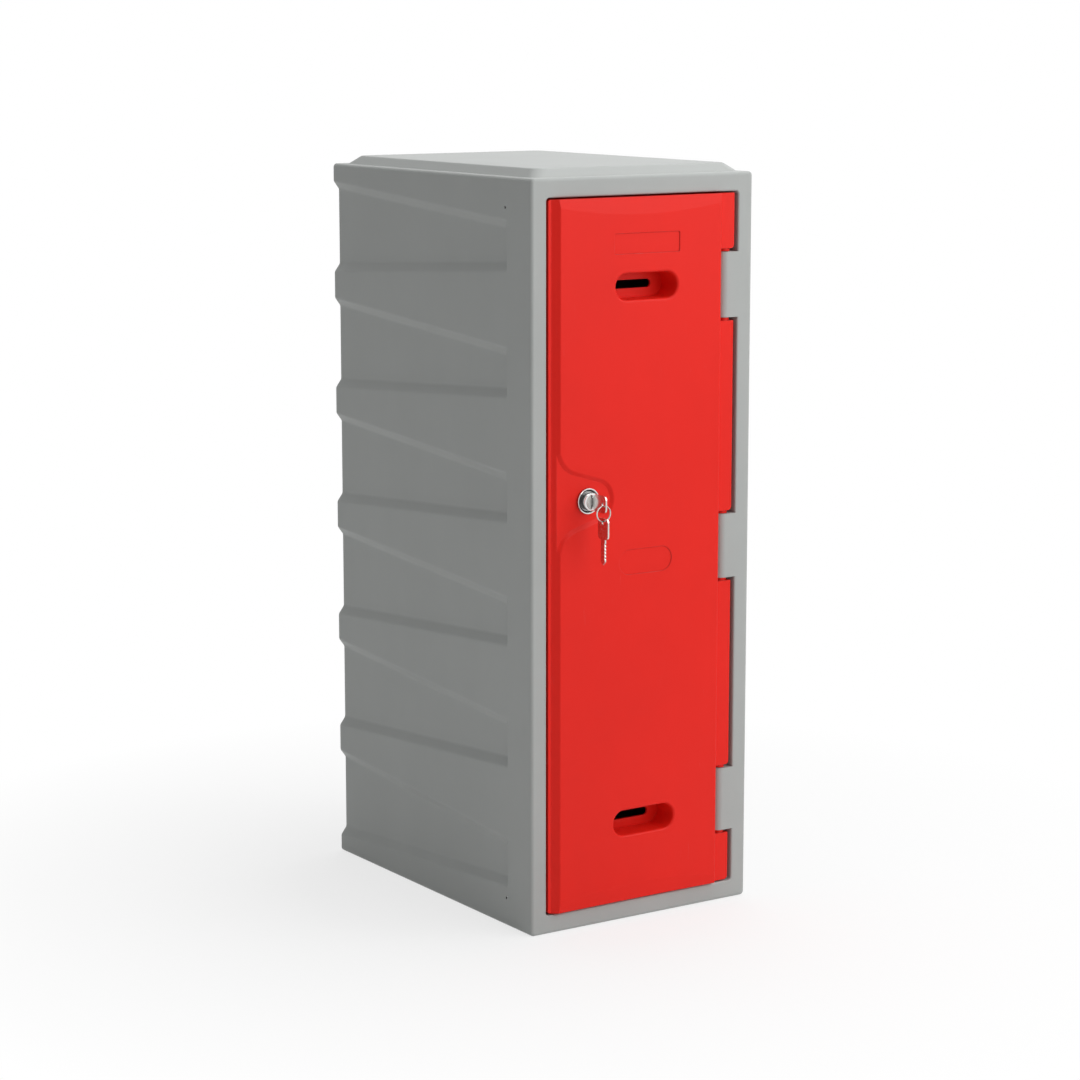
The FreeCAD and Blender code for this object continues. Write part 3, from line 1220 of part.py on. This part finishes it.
NODES = (
    "carcass", "back_panel", "back_panel_screws", "door_front", "door_liner", "door_liner_screws",
    "hinge_pin_top", "hinge_pin_middle", "hinge_pin_bottom",
    "lock_escutcheon", "lock_housing", "lock_tooth_washer", "lock_nut",
    "lock_plug", "lock_stop_washer", "lock_cam", "lock_cam_screw",
    "key", "key_ring", "spare_key",
)


def write_parts():
    """Check every object of the document, then write each sub-part to its own file."""
    doc.recompute()
    for item in doc.Objects:
        if "Invalid" in item.State or "Error" in item.State:
            raise ValueError(f"{item.Label} failed: {item.State}")
    shapes = {label: doc.getObjectsByLabel(label)[0].Shape for label in NODES}
    for label, shape in shapes.items():
        if shape.isNull() or not shape.isValid() or not shape.Solids:
            raise ValueError(f"{label} has no valid solid")
    os.makedirs("parts", exist_ok=True)
    for label, shape in shapes.items():
        shape.exportStep(f"parts/{label}.step")
        print(f"{label}: {len(shape.Solids)} solids, {shape.Volume / 1000:.2f} cm3")


make_carcass()
make_back_panel()
make_door_front()
make_door_liner()
make_hinge_pins()
make_lock()
make_keys()
write_parts()
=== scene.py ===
import json
import math

import bmesh
import bpy
from mathutils import Matrix, Vector


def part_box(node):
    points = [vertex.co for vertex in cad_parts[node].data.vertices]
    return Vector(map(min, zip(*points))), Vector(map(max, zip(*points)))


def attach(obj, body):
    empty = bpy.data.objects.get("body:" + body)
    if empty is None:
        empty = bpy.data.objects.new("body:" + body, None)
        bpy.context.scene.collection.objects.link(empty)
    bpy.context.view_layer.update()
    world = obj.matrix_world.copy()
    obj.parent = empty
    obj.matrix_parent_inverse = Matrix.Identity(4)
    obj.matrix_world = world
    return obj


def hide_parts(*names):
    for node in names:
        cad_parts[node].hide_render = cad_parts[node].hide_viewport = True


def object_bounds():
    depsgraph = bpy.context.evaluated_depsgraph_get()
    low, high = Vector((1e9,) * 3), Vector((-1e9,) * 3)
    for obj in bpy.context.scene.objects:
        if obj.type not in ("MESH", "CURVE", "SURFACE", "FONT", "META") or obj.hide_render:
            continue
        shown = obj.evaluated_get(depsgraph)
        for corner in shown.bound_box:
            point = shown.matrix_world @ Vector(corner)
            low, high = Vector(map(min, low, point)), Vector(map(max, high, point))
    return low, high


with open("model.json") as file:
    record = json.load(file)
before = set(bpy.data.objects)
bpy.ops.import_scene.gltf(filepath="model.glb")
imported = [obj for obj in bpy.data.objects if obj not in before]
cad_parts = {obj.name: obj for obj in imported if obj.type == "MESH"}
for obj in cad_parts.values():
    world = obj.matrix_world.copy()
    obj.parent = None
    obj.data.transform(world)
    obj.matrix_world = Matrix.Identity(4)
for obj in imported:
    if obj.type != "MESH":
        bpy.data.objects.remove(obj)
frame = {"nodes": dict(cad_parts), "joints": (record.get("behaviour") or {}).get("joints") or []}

# Dresses the plastic locker: moulded plastic, plated metal, a coiled split ring, and the studio round it.
# Metres throughout; +X to the right seen from the front, +Y to the back, +Z up.

bl_info = {
    "name": "Plastic locker",
    "version": (1, 0, 0),
    "blender": (4, 5, 0),
    "location": "View3D > Sidebar > Locker",
    "description": "Finishes, split key ring and studio for a moulded plastic locker",
    "category": "Object",
}

CAD_BOX = [list(corner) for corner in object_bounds()]
JOINTS = {joint["name"]: joint for joint in frame["joints"]}
RING_LOW, RING_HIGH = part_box("key_ring")
UP = Vector((0, 0, 1))
WHITE = (1.0, 1.0, 1.0, 1.0)

GREY_MOULDINGS = ("carcass", "back_panel")
RED_MOULDINGS = ("door_front", "door_liner")
CHROMED = ("lock_escutcheon", "lock_housing", "lock_plug")
KEYS = ("key", "spare_key")
HINGE_PINS = ("hinge_pin_top", "hinge_pin_middle", "hinge_pin_bottom")
ZINC_PLATED = (
    "back_panel_screws", "door_liner_screws", "lock_tooth_washer", "lock_nut",
    "lock_stop_washer", "lock_cam", "lock_cam_screw",
)


class MouldingFinish(bpy.types.PropertyGroup):
    """Looks of the moulded plastic."""

    body_colour: bpy.props.FloatVectorProperty(
        name="Body colour", description="Colour of the grey body", subtype="COLOR", size=3, min=0,
        max=1, default=(0.40, 0.415, 0.405))
    door_colour: bpy.props.FloatVectorProperty(
        name="Door colour", description="Colour of the red door", subtype="COLOR", size=3, min=0, max=1,
        default=(0.77, 0.016, 0.009))
    roughness: bpy.props.FloatProperty(
        name="Roughness", description="Roughness of a clean moulded face", subtype="FACTOR", min=0,
        max=1, default=0.42)
    gloss: bpy.props.FloatProperty(
        name="Gloss", description="Strength of the plastic's reflections", subtype="FACTOR", min=0,
        max=1, default=0.18)
    grain_size: bpy.props.FloatProperty(
        name="Grain size", description="Spacing of the mould's fine pebble grain", unit="LENGTH",
        default=0.0011)
    grain_height: bpy.props.FloatProperty(
        name="Grain height", description="Height of the pebble grain", unit="LENGTH", default=0.00006)
    mottle_height: bpy.props.FloatProperty(
        name="Mottle height", description="Height of the broad unevenness of a face", unit="LENGTH",
        default=0.00012)
    edge_round: bpy.props.FloatProperty(
        name="Edge round", description="Softness of the moulding's crisp edges", unit="LENGTH",
        default=0.0009)
    wear: bpy.props.FloatProperty(
        name="Wear", description="Paling of rubbed edges and scuffs", subtype="FACTOR", min=0, max=1,
        default=0.3)
    # Reach and strength of the painted shade: the moulding's colour is darkened in its inner corners.
    painted_shade_reach: bpy.props.FloatProperty(
        name="Crease reach", description="Reach of the grime that gathers in corners", unit="LENGTH",
        default=0.006)
    painted_shade: bpy.props.FloatProperty(
        name="Grime", description="Darkening of the moulding's inner corners", subtype="FACTOR", min=0,
        max=1, default=0.6)


class MetalFinish(bpy.types.PropertyGroup):
    """Looks of the metal pieces."""

    chrome_colour: bpy.props.FloatVectorProperty(
        name="Chrome colour", description="Colour of the chromed lock", subtype="COLOR", size=3, min=0,
        max=1, default=(0.77, 0.76, 0.75))
    nickel_colour: bpy.props.FloatVectorProperty(
        name="Nickel colour", description="Colour of the keys and ring", subtype="COLOR", size=3, min=0,
        max=1, default=(0.66, 0.65, 0.62))
    zinc_colour: bpy.props.FloatVectorProperty(
        name="Zinc colour", description="Colour of the zinc-plated steel", subtype="COLOR", size=3,
        min=0, max=1, default=(0.58, 0.58, 0.57))
    pin_colour: bpy.props.FloatVectorProperty(
        name="Pin colour", description="Colour of the drawn steel pins", subtype="COLOR", size=3, min=0,
        max=1, default=(0.50, 0.50, 0.50))
    plated_edge: bpy.props.FloatProperty(
        name="Plated edge", description="Softness of a plated piece's edges", unit="LENGTH",
        default=0.00025)
    zinc_edge: bpy.props.FloatProperty(
        name="Zinc edge", description="Softness of a zinc-plated piece's edges", unit="LENGTH",
        default=0.0003)
    # Reach of the painted shade that darkens the lock's hollows.
    painted_shade_reach: bpy.props.FloatProperty(
        name="Crease reach", description="Reach of the dark in the lock's hollows", unit="LENGTH",
        default=0.009)


class SplitRing(bpy.types.PropertyGroup):
    """Sizes of the coiled key ring."""

    wire_radius: bpy.props.FloatProperty(
        name="Wire radius", description="Radius of the ring's wire", unit="LENGTH", default=0.00055)
    turns: bpy.props.FloatProperty(
        name="Turns", description="Turns of the coil", default=1.9)
    pitch: bpy.props.FloatProperty(
        name="Pitch", description="Distance from turn to turn, in wire radii", default=2.05)
    steps_per_turn: bpy.props.IntProperty(
        name="Steps", description="Lengths in each turn of the coil", default=44)
    wire_sides: bpy.props.IntProperty(
        name="Wire sides", description="Sides of the wire's round section", default=12)


class Studio(bpy.types.PropertyGroup):
    """Camera, lamps and floor."""

    camera_place: bpy.props.FloatVectorProperty(
        name="Camera place", description="Place of the camera", subtype="TRANSLATION", unit="LENGTH",
        size=3, default=(-2.0092, -3.0155, 1.0633))
    camera_turn: bpy.props.FloatProperty(
        name="Camera turn", description="Turn of the view to the right of straight back",
        subtype="ANGLE", default=math.radians(33.72))
    camera_tilt: bpy.props.FloatProperty(
        name="Camera tilt", description="Tilt of the view below level", subtype="ANGLE",
        default=math.radians(9.94))
    camera_lens: bpy.props.FloatProperty(
        name="Lens", description="Focal length in millimetres", unit="CAMERA", default=98.38)
    camera_sensor: bpy.props.FloatProperty(
        name="Sensor", description="Width of the square picture in millimetres", unit="CAMERA",
        default=36)
    level_light: bpy.props.FloatProperty(
        name="Level light", description="Strength of the light from the walls of the studio",
        default=0.57)
    sky_light: bpy.props.FloatProperty(
        name="Sky light", description="Strength of the light from the ceiling of the studio",
        default=0.15)
    key_place: bpy.props.FloatVectorProperty(
        name="Key lamp place", description="Place of the lamp at the front right",
        subtype="TRANSLATION", unit="LENGTH", size=3, default=(0.95, -1.8, 1.75))
    key_width: bpy.props.FloatProperty(
        name="Key lamp width", description="Width of the lamp at the front right", unit="LENGTH",
        default=2.4)
    key_power: bpy.props.FloatProperty(
        name="Key lamp", description="Power of the lamp at the front right", unit="POWER", default=39)
    top_place: bpy.props.FloatVectorProperty(
        name="Top lamp place", description="Place of the lamp overhead", subtype="TRANSLATION",
        unit="LENGTH", size=3, default=(0.7, 0.3, 2.7))
    top_width: bpy.props.FloatProperty(
        name="Top lamp width", description="Width of the lamp overhead", unit="LENGTH", default=2.0)
    top_power: bpy.props.FloatProperty(
        name="Top lamp", description="Power of the lamp overhead", unit="POWER", default=32)
    floor_colour: bpy.props.FloatVectorProperty(
        name="Floor colour", description="Colour of the pale floor", subtype="COLOR", size=3, min=0,
        max=1, default=(0.9, 0.9, 0.9))
    floor_width: bpy.props.FloatProperty(
        name="Floor width", description="Width of the pale floor", unit="LENGTH", default=24)
    shadow: bpy.props.FloatProperty(
        name="Shadow", description="Share of the floor's own shading that the camera sees",
        subtype="FACTOR", min=0, max=1, default=0.28)
    fade_start: bpy.props.FloatProperty(
        name="Fade start", description="Distance at which the floor starts to fade to white",
        unit="LENGTH", default=0.3)
    shadow_reach: bpy.props.FloatProperty(
        name="Shadow reach", description="Distance at which the floor has faded to white",
        unit="LENGTH", default=0.9)


class Value:
    """One output of a shader node. Arithmetic on it adds Math nodes."""

    def __init__(self, shader, socket):
        self.shader = shader
        self.socket = socket

    def math(self, operation, *terms):
        return self.shader.node("ShaderNodeMath", {"operation": operation}, dict(enumerate(terms)))

    def __add__(self, other):
        return self.math("ADD", self, other)

    def __radd__(self, other):
        return self.math("ADD", other, self)

    def __sub__(self, other):
        return self.math("SUBTRACT", self, other)

    def __rsub__(self, other):
        return self.math("SUBTRACT", other, self)

    def __mul__(self, other):
        return self.math("MULTIPLY", self, other)

    def __rmul__(self, other):
        return self.math("MULTIPLY", other, self)

    def or_larger(self, other):
        return self.math("MAXIMUM", self, other)


class Shader:
    """A node tree that is put together one node at a time."""

    def __init__(self, tree):
        self.tree = tree

    def node(self, kind, settings=None, inputs=None, output=0):
        """Add a node, set it up, feed its sockets, and return one of its outputs."""
        node = self.tree.nodes.new(kind)
        for name, setting in (settings or {}).items():
            setattr(node, name, setting)
        for name, value in (inputs or {}).items():
            self.feed(node.inputs[name], value)
        return Value(self, node.outputs[output])

    def feed(self, socket, value):
        """Link a value to a socket, or set the socket to a constant."""
        if isinstance(value, Value):
            self.tree.links.new(value.socket, socket)
        else:
            socket.default_value = value

    def band(self, value, low, high):
        """A value spread from 0 at low to 1 at high."""
        inputs = {"Value": value, "From Min": low, "From Max": high}
        return self.node("ShaderNodeMapRange", {"clamp": True}, inputs)

    def tint(self, factor, first, second):
        """A colour between two others."""
        factor_socket, first_socket, second_socket, colour_output = 0, 6, 7, 2
        inputs = {factor_socket: factor, first_socket: first, second_socket: second}
        return self.node("ShaderNodeMix", {"data_type": "RGBA"}, inputs, colour_output)


class Finish(Shader):
    """A material with one main surface."""

    def __init__(self, name):
        self.material = bpy.data.materials.new(name)
        self.material.use_nodes = True
        super().__init__(self.material.node_tree)
        self.surface = self.tree.nodes["Principled BSDF"]
        self.place = self.node("ShaderNodeTexCoord", output="Object")

    def set(self, **sockets):
        """Feed the surface's sockets, named with underscores for spaces."""
        for name, value in sockets.items():
            self.feed(self.surface.inputs[name.replace("_", " ")], value)

    def noise(self, per_metre, detail=3.0, roughness=0.55, place=None):
        """Noise with so many lumps to the metre."""
        return self.node("ShaderNodeTexNoise", None, {
            "Vector": place or self.place, "Scale": per_metre, "Detail": detail, "Roughness": roughness})

    def streaks(self, per_metre, detail=3.0, roughness=0.55):
        """Noise with a number of lumps to the metre for each axis."""
        place = self.node("ShaderNodeMapping", None, {"Vector": self.place, "Scale": per_metre})
        return self.noise(1.0, detail, roughness, place)

    def soft_edges(self, radius):
        """Normal that rounds crisp edges, and a mask that is high along them."""
        normal = self.node("ShaderNodeBevel", {"samples": 4}, {"Radius": radius})
        flat = self.node("ShaderNodeNewGeometry", output="Normal")
        both = {0: normal, 1: flat}
        facing = self.node("ShaderNodeVectorMath", {"operation": "DOT_PRODUCT"}, both, "Value")
        return normal, self.band(1 - facing, low=0.01, high=0.2)

    def painted_hollow_shade(self, reach, own=False):
        """Painted shade: a mask that is high in hollows, also those between pieces unless only its own
        count.
        """
        settings = {"samples": 8, "only_local": own}
        open_share = self.node("ShaderNodeAmbientOcclusion", settings, {"Distance": reach}, "AO")
        return self.band(1 - open_share, low=0.15, high=0.75)

    def bump(self, height, normal):
        """Normal that is roughened by a height in metres."""
        return self.node("ShaderNodeBump", None, {
            "Height": height, "Distance": 1.0, "Strength": 1.0, "Normal": normal})

    def dress(self, nodes):
        """Give the finish to CAD nodes."""
        for name in nodes:
            for slot in frame["nodes"][name].material_slots:
                slot.material = self.material


def shaded(colour, share):
    """A colour made lighter or darker, with full alpha."""
    return tuple(min(1.0, part * share) for part in colour[:3]) + (1.0,)


def paled(colour, share):
    """A colour moved towards a pale grey, with full alpha."""
    pale = 0.62
    return tuple(part + (pale - part) * share for part in colour[:3]) + (1.0,)


# Noise swings evenly round this value.
MIDDLE = 0.5

# Patterns in the moulded plastic, by their number to the metre, for one or for each axis.
MOTTLES = 9.0
FLOW_MARKS = (9.0, 9.0, 2.4)
SCUFFS = (260.0, 260.0, 22.0)
SCUFFED_AREAS = 5.0
RUBBED_SPOTS = 60.0

# What those patterns do: tones are shares of the plain colour, the rest are strengths.
DARK_MOTTLE_TONE = 0.95
PALE_MOTTLE_TONE = 1.05
FLOW_TONE = 1.1
# Share of the plain colour for the painted shade in inner corners.
PAINTED_SHADE_TONE = 0.25
FLOW_STRENGTH = 0.35
RUBBED_STRENGTH = 0.5
SCUFF_STRENGTH = 0.35
WORN_PALENESS = 0.7
MOTTLE_ROUGHNESS = 0.14
GRAIN_ROUGHNESS = 0.1
SCUFF_ROUGHNESS = 0.12
PLASTIC_IOR = 1.5


def moulded_plastic(name, colour, look):
    """Satin moulded plastic: grain, mottling, flow marks, faint scuffs, rubbed edges, and painted shade
    darkening its inner corners.
    """
    finish = Finish(name)
    grain = finish.noise(1 / look.grain_size, detail=2.0, roughness=0.6)
    mottle = finish.noise(MOTTLES, detail=4.0)
    flow = finish.band(finish.streaks(FLOW_MARKS, detail=5.0), low=0.45, high=0.75)
    scuffs = finish.band(finish.streaks(SCUFFS, detail=4.0, roughness=0.7), low=0.66, high=0.8)
    scuffs = scuffs * finish.band(finish.noise(SCUFFED_AREAS, detail=2.0), low=0.45, high=0.7)
    normal, edge = finish.soft_edges(look.edge_round)
    rubbed = edge * finish.band(finish.noise(RUBBED_SPOTS), low=0.35, high=0.65)
    worn = (rubbed * RUBBED_STRENGTH + scuffs * SCUFF_STRENGTH) * look.wear
    # Painted shade: the colour darkens where the moulding's own surfaces close in.
    painted_corner_shade = finish.painted_hollow_shade(look.painted_shade_reach, own=True) * look.painted_shade

    tone = finish.tint(mottle, shaded(colour, DARK_MOTTLE_TONE), shaded(colour, PALE_MOTTLE_TONE))
    tone = finish.tint(flow * FLOW_STRENGTH, tone, shaded(colour, FLOW_TONE))
    tone = finish.tint(worn, tone, paled(colour, WORN_PALENESS))
    tone = finish.tint(painted_corner_shade, tone, shaded(colour, PAINTED_SHADE_TONE))
    roughness = look.roughness + (mottle - MIDDLE) * MOTTLE_ROUGHNESS
    roughness = roughness + (grain - MIDDLE) * GRAIN_ROUGHNESS + scuffs * SCUFF_ROUGHNESS
    height = grain * look.grain_height + mottle * look.mottle_height
    finish.set(Base_Color=tone, Roughness=roughness, Normal=finish.bump(height, normal))
    finish.set(IOR=PLASTIC_IOR, Specular_IOR_Level=look.gloss)
    return finish


# Patterns in plated metal, by their number to the metre, and what they do.
POLISH_CLOUDS = 260.0
HAIRLINES = (4000.0, 4000.0, 260.0)
HAIRLINE_DEPTH = 0.00006
# Painted shade in hollows, as a share of the colour.
PAINTED_HOLLOW_TONE = 0.06
# Painted highlight along plated edges: its tone and strength.
PLATED_HIGHLIGHT_TONE = 1.25
PLATED_HIGHLIGHT_STRENGTH = 0.4


def plated_metal(name, colour, look, roughness, cloud, scratch):
    """Plated metal: cloudy polish with hairline scratches, painted shade in hollows, a painted highlight
    along edges, and softened edges.
    """
    finish = Finish(name)
    clouds = finish.noise(POLISH_CLOUDS, detail=4.0)
    hairs = finish.streaks(HAIRLINES, roughness=0.65)
    normal, edge = finish.soft_edges(look.plated_edge)
    tone = finish.tint(clouds, shaded(colour, 1 - cloud), shaded(colour, 1 + cloud))
    # Painted shade: the colour darkens in hollows and between pieces.
    tone = finish.tint(finish.painted_hollow_shade(look.painted_shade_reach), tone, shaded(colour, PAINTED_HOLLOW_TONE))
    # Painted highlight: the colour is lightened along the edges.
    tone = finish.tint(edge * PLATED_HIGHLIGHT_STRENGTH, tone, shaded(colour, PLATED_HIGHLIGHT_TONE))
    scratched = finish.band(hairs, low=0.55, high=0.8) * scratch
    roughness = roughness + (clouds - MIDDLE) * roughness + scratched
    normal = finish.bump(hairs * (HAIRLINE_DEPTH * scratch), normal)
    finish.set(Base_Color=tone, Metallic=1.0, Roughness=roughness, Normal=normal)
    return finish


# Patterns in zinc plate, by their number to the metre, and what they do.
ZINC_CRYSTALS = 900.0
ZINC_CLOUDS = 180.0
CRYSTAL_HEIGHT = 0.00001
DARK_CRYSTAL_TONE = 0.86
PALE_CRYSTAL_TONE = 1.1
# Painted highlight along zinc-plated edges: its tone and strength.
ZINC_HIGHLIGHT_TONE = 1.3
ZINC_HIGHLIGHT_STRENGTH = 0.35
ZINC_ROUGHNESS = 0.3
CRYSTAL_ROUGHNESS = 0.12
CLOUD_ROUGHNESS = 0.12


def zinc_plate(name, colour, look):
    """Zinc-plated steel: small crystals of slightly different tone and gloss, and a painted highlight
    along its edges.
    """
    finish = Finish(name)
    pattern = {"Vector": finish.place, "Scale": ZINC_CRYSTALS}
    crystals = finish.node("ShaderNodeTexVoronoi", {"feature": "F1"}, pattern, "Color")
    grey = finish.node("ShaderNodeRGBToBW", None, {"Color": crystals})
    clouds = finish.noise(ZINC_CLOUDS)
    normal, edge = finish.soft_edges(look.zinc_edge)
    tone = finish.tint(grey, shaded(colour, DARK_CRYSTAL_TONE), shaded(colour, PALE_CRYSTAL_TONE))
    # Painted highlight: the colour is lightened along the edges.
    tone = finish.tint(edge * ZINC_HIGHLIGHT_STRENGTH, tone, shaded(colour, ZINC_HIGHLIGHT_TONE))
    roughness = ZINC_ROUGHNESS + grey * CRYSTAL_ROUGHNESS + (clouds - MIDDLE) * CLOUD_ROUGHNESS
    normal = finish.bump(grey * CRYSTAL_HEIGHT, normal)
    finish.set(Base_Color=tone, Metallic=1.0, Roughness=roughness, Normal=normal)
    return finish


def new_piece(name, shape):
    """Put a finished bmesh in the scene as an object at the origin."""
    mesh = bpy.data.meshes.new(name)
    shape.to_mesh(mesh)
    shape.free()
    for polygon in mesh.polygons:
        polygon.use_smooth = True
    piece = bpy.data.objects.new(name, mesh)
    bpy.context.scene.collection.objects.link(piece)
    return piece


class LOCKER_OT_mouldings(bpy.types.Operator):
    """Dress the body, its back, the door and its liner in moulded plastic"""

    bl_idname = "locker.mouldings"
    bl_label = "Plastic mouldings"

    def execute(self, context):
        look = context.scene.locker_moulding
        moulded_plastic("grey moulded plastic", look.body_colour, look).dress(GREY_MOULDINGS)
        moulded_plastic("red moulded plastic", look.door_colour, look).dress(RED_MOULDINGS)
        return {"FINISHED"}


class LOCKER_OT_metalwork(bpy.types.Operator):
    """Dress the lock, its clamping pieces, the screws, the pins and the keys in plated metal"""

    bl_idname = "locker.metalwork"
    bl_label = "Metalwork"

    def execute(self, context):
        look = context.scene.locker_metal
        chrome = plated_metal(
            "polished chrome", look.chrome_colour, look, roughness=0.09, cloud=0.05, scratch=0.08)
        nickel = plated_metal(
            "worn nickel", look.nickel_colour, look, roughness=0.2, cloud=0.1, scratch=0.2)
        steel = plated_metal(
            "drawn steel", look.pin_colour, look, roughness=0.28, cloud=0.08, scratch=0.2)
        chrome.dress(CHROMED)
        nickel.dress(KEYS)
        steel.dress(HINGE_PINS)
        zinc_plate("zinc plate", look.zinc_colour, look).dress(ZINC_PLATED)
        return {"FINISHED"}


class LOCKER_OT_split_ring(bpy.types.Operator):
    """Coil the split ring that holds both keys"""

    bl_idname = "locker.split_ring"
    bl_label = "Split key ring"

    # Corners closer than this share of the wire's radius are merged.
    merge_share = 0.02

    def execute(self, context):
        size = context.scene.locker_ring
        look = context.scene.locker_metal
        ring = new_piece("split_ring", self.coil(size))
        nickel = plated_metal(
            "ring nickel", look.nickel_colour, look, roughness=0.16, cloud=0.08, scratch=0.15)
        ring.data.materials.append(nickel.material)
        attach(ring, "ring")
        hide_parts("key_ring")
        return {"FINISHED"}

    def coil(self, size):
        """Spin the wire's round section into a coil that fills the CAD ring's height."""
        middle = (RING_LOW + RING_HIGH) / 2
        coil_radius = (RING_HIGH.z - RING_LOW.z) / 2 - size.wire_radius
        axis = Vector(JOINTS["lock_turn"]["axis"]).normalized()
        steps = round(size.turns * size.steps_per_turn)
        lead = size.pitch * size.wire_radius / size.steps_per_turn
        coil = bmesh.new()
        section = bmesh.ops.create_circle(
            coil, cap_ends=True, segments=size.wire_sides, radius=size.wire_radius)
        # The section stands at the top of the coil, facing along the turn.
        across = axis.cross(UP).normalized()
        stand = Matrix((axis, UP, across)).transposed().to_4x4()
        start = middle + UP * coil_radius - axis * (lead * steps / 2)
        bmesh.ops.transform(coil, matrix=Matrix.Translation(start) @ stand, verts=section["verts"])
        bmesh.ops.spin(
            coil, geom=coil.faces[:] + coil.edges[:] + coil.verts[:], cent=middle, axis=axis,
            dvec=axis * lead, angle=math.tau * size.turns, steps=steps,
            use_merge=False, use_duplicate=False)
        bmesh.ops.remove_doubles(coil, verts=coil.verts, dist=size.wire_radius * self.merge_share)
        bmesh.ops.recalc_face_normals(coil, faces=coil.faces)
        return coil


class LOCKER_OT_studio(bpy.types.Operator):
    """Set up the pale floor, the soft lamps and the camera"""

    bl_idname = "locker.studio"
    bl_label = "Studio"

    # Height of a direction, from 0 at level to 1 straight up, at which only the ceiling's light is left.
    ceiling_rise = 0.9
    floor_roughness = 0.9

    def execute(self, context):
        studio = context.scene.locker_studio
        context.scene.view_settings.view_transform = "Standard"
        self.add_floor(studio)
        self.light_world(context.scene, studio)
        self.add_lamp("key_lamp", studio.key_place, studio.key_width, studio.key_power)
        self.add_lamp("top_lamp", studio.top_place, studio.top_width, studio.top_power)
        self.add_camera(context.scene, studio)
        return {"FINISHED"}

    @staticmethod
    def seen_directly(shader):
        """A factor of 1 for rays that show the background itself, mirrored or through glass."""
        camera, glossy, transmission = (
            shader.node("ShaderNodeLightPath", output=name)
            for name in ("Is Camera Ray", "Is Glossy Ray", "Is Transmission Ray")
        )
        return camera.or_larger(glossy).or_larger(transmission)

    def add_floor(self, studio):
        """Lay a floor that looks white, apart from a share of the shadow near the locker."""
        plane = bmesh.new()
        bmesh.ops.create_grid(plane, x_segments=1, y_segments=1, size=studio.floor_width / 2)
        floor = new_piece("floor", plane)
        finish = Finish("pale floor")
        finish.set(Base_Color=(*studio.floor_colour, 1.0), Roughness=self.floor_roughness)
        lit = Value(finish, finish.surface.outputs[0])
        glow = finish.node("ShaderNodeEmission", None, {"Color": WHITE, "Strength": 1.0})
        distance = finish.node(
            "ShaderNodeVectorMath", {"operation": "LENGTH"}, {0: finish.place}, "Value")
        near = 1 - finish.band(distance, studio.fade_start, studio.shadow_reach)
        share = self.seen_directly(finish) * (1 - near * studio.shadow)
        mix = finish.node("ShaderNodeMixShader", None, {0: share, 1: lit, 2: glow})
        finish.feed(finish.tree.nodes["Material Output"].inputs["Surface"], mix)
        floor.data.materials.append(finish.material)

    def light_world(self, scene, studio):
        """Light the studio from its walls and less from its ceiling, with a white background."""
        world = bpy.data.worlds.new("studio")
        world.use_nodes = True
        scene.world = world
        shader = Shader(world.node_tree)
        level, sky, plain = (
            shader.node("ShaderNodeBackground", None, {"Color": WHITE, "Strength": strength})
            for strength in (studio.level_light, studio.sky_light, 1.0)
        )
        direction = shader.node("ShaderNodeTexCoord", output="Generated")
        height = shader.node("ShaderNodeSeparateXYZ", None, {"Vector": direction}, "Z")
        rise = shader.band(height, 0.0, self.ceiling_rise)
        soft = shader.node("ShaderNodeMixShader", None, {0: rise, 1: level, 2: sky})
        mix = shader.node("ShaderNodeMixShader", None, {0: self.seen_directly(shader), 1: soft, 2: plain})
        shader.feed(world.node_tree.nodes["World Output"].inputs["Surface"], mix)

    @staticmethod
    def add_lamp(name, place, width, power):
        """Hang a square lamp that faces the middle of the locker's height."""
        lamp = bpy.data.lights.new(name, "AREA")
        lamp.size = width
        lamp.energy = power
        holder = bpy.data.objects.new(name, lamp)
        holder.location = place
        target = UP * (CAD_BOX[1][2] / 2)
        holder.rotation_euler = (target - Vector(place)).to_track_quat("-Z", "Y").to_euler()
        bpy.context.scene.collection.objects.link(holder)

    @staticmethod
    def add_camera(scene, studio):
        """Stand the camera where the photograph was taken from."""
        camera = bpy.data.cameras.new("camera")
        camera.lens = studio.camera_lens
        camera.sensor_width = studio.camera_sensor
        holder = bpy.data.objects.new("camera", camera)
        holder.location = studio.camera_place
        holder.rotation_euler = (math.pi / 2 - studio.camera_tilt, 0, -studio.camera_turn)
        scene.collection.objects.link(holder)
        scene.camera = holder


class LOCKER_PT_panel(bpy.types.Panel):
    """Lists the steps that dress the locker"""

    bl_idname = "LOCKER_PT_panel"
    bl_label = "Plastic locker"
    bl_space_type = "VIEW_3D"
    bl_region_type = "UI"
    bl_category = "Locker"

    def draw(self, context):
        for operator in OPERATORS:
            self.layout.operator(operator.bl_idname)


OPERATORS = (LOCKER_OT_mouldings, LOCKER_OT_metalwork, LOCKER_OT_split_ring, LOCKER_OT_studio)
GROUPS = {
    "locker_moulding": MouldingFinish,
    "locker_metal": MetalFinish,
    "locker_ring": SplitRing,
    "locker_studio": Studio,
}
CLASSES = (*GROUPS.values(), *OPERATORS, LOCKER_PT_panel)


def register():
    for item in CLASSES:
        bpy.utils.register_class(item)
    for name, group in GROUPS.items():
        setattr(bpy.types.Scene, name, bpy.props.PointerProperty(type=group))


def unregister():
    for name in GROUPS:
        delattr(bpy.types.Scene, name)
    for item in reversed(CLASSES):
        bpy.utils.unregister_class(item)


def main():
    register()
    bpy.ops.locker.mouldings()
    bpy.ops.locker.metalwork()
    bpy.ops.locker.split_ring()
    bpy.ops.locker.studio()


if __name__ == "__main__":
    main()
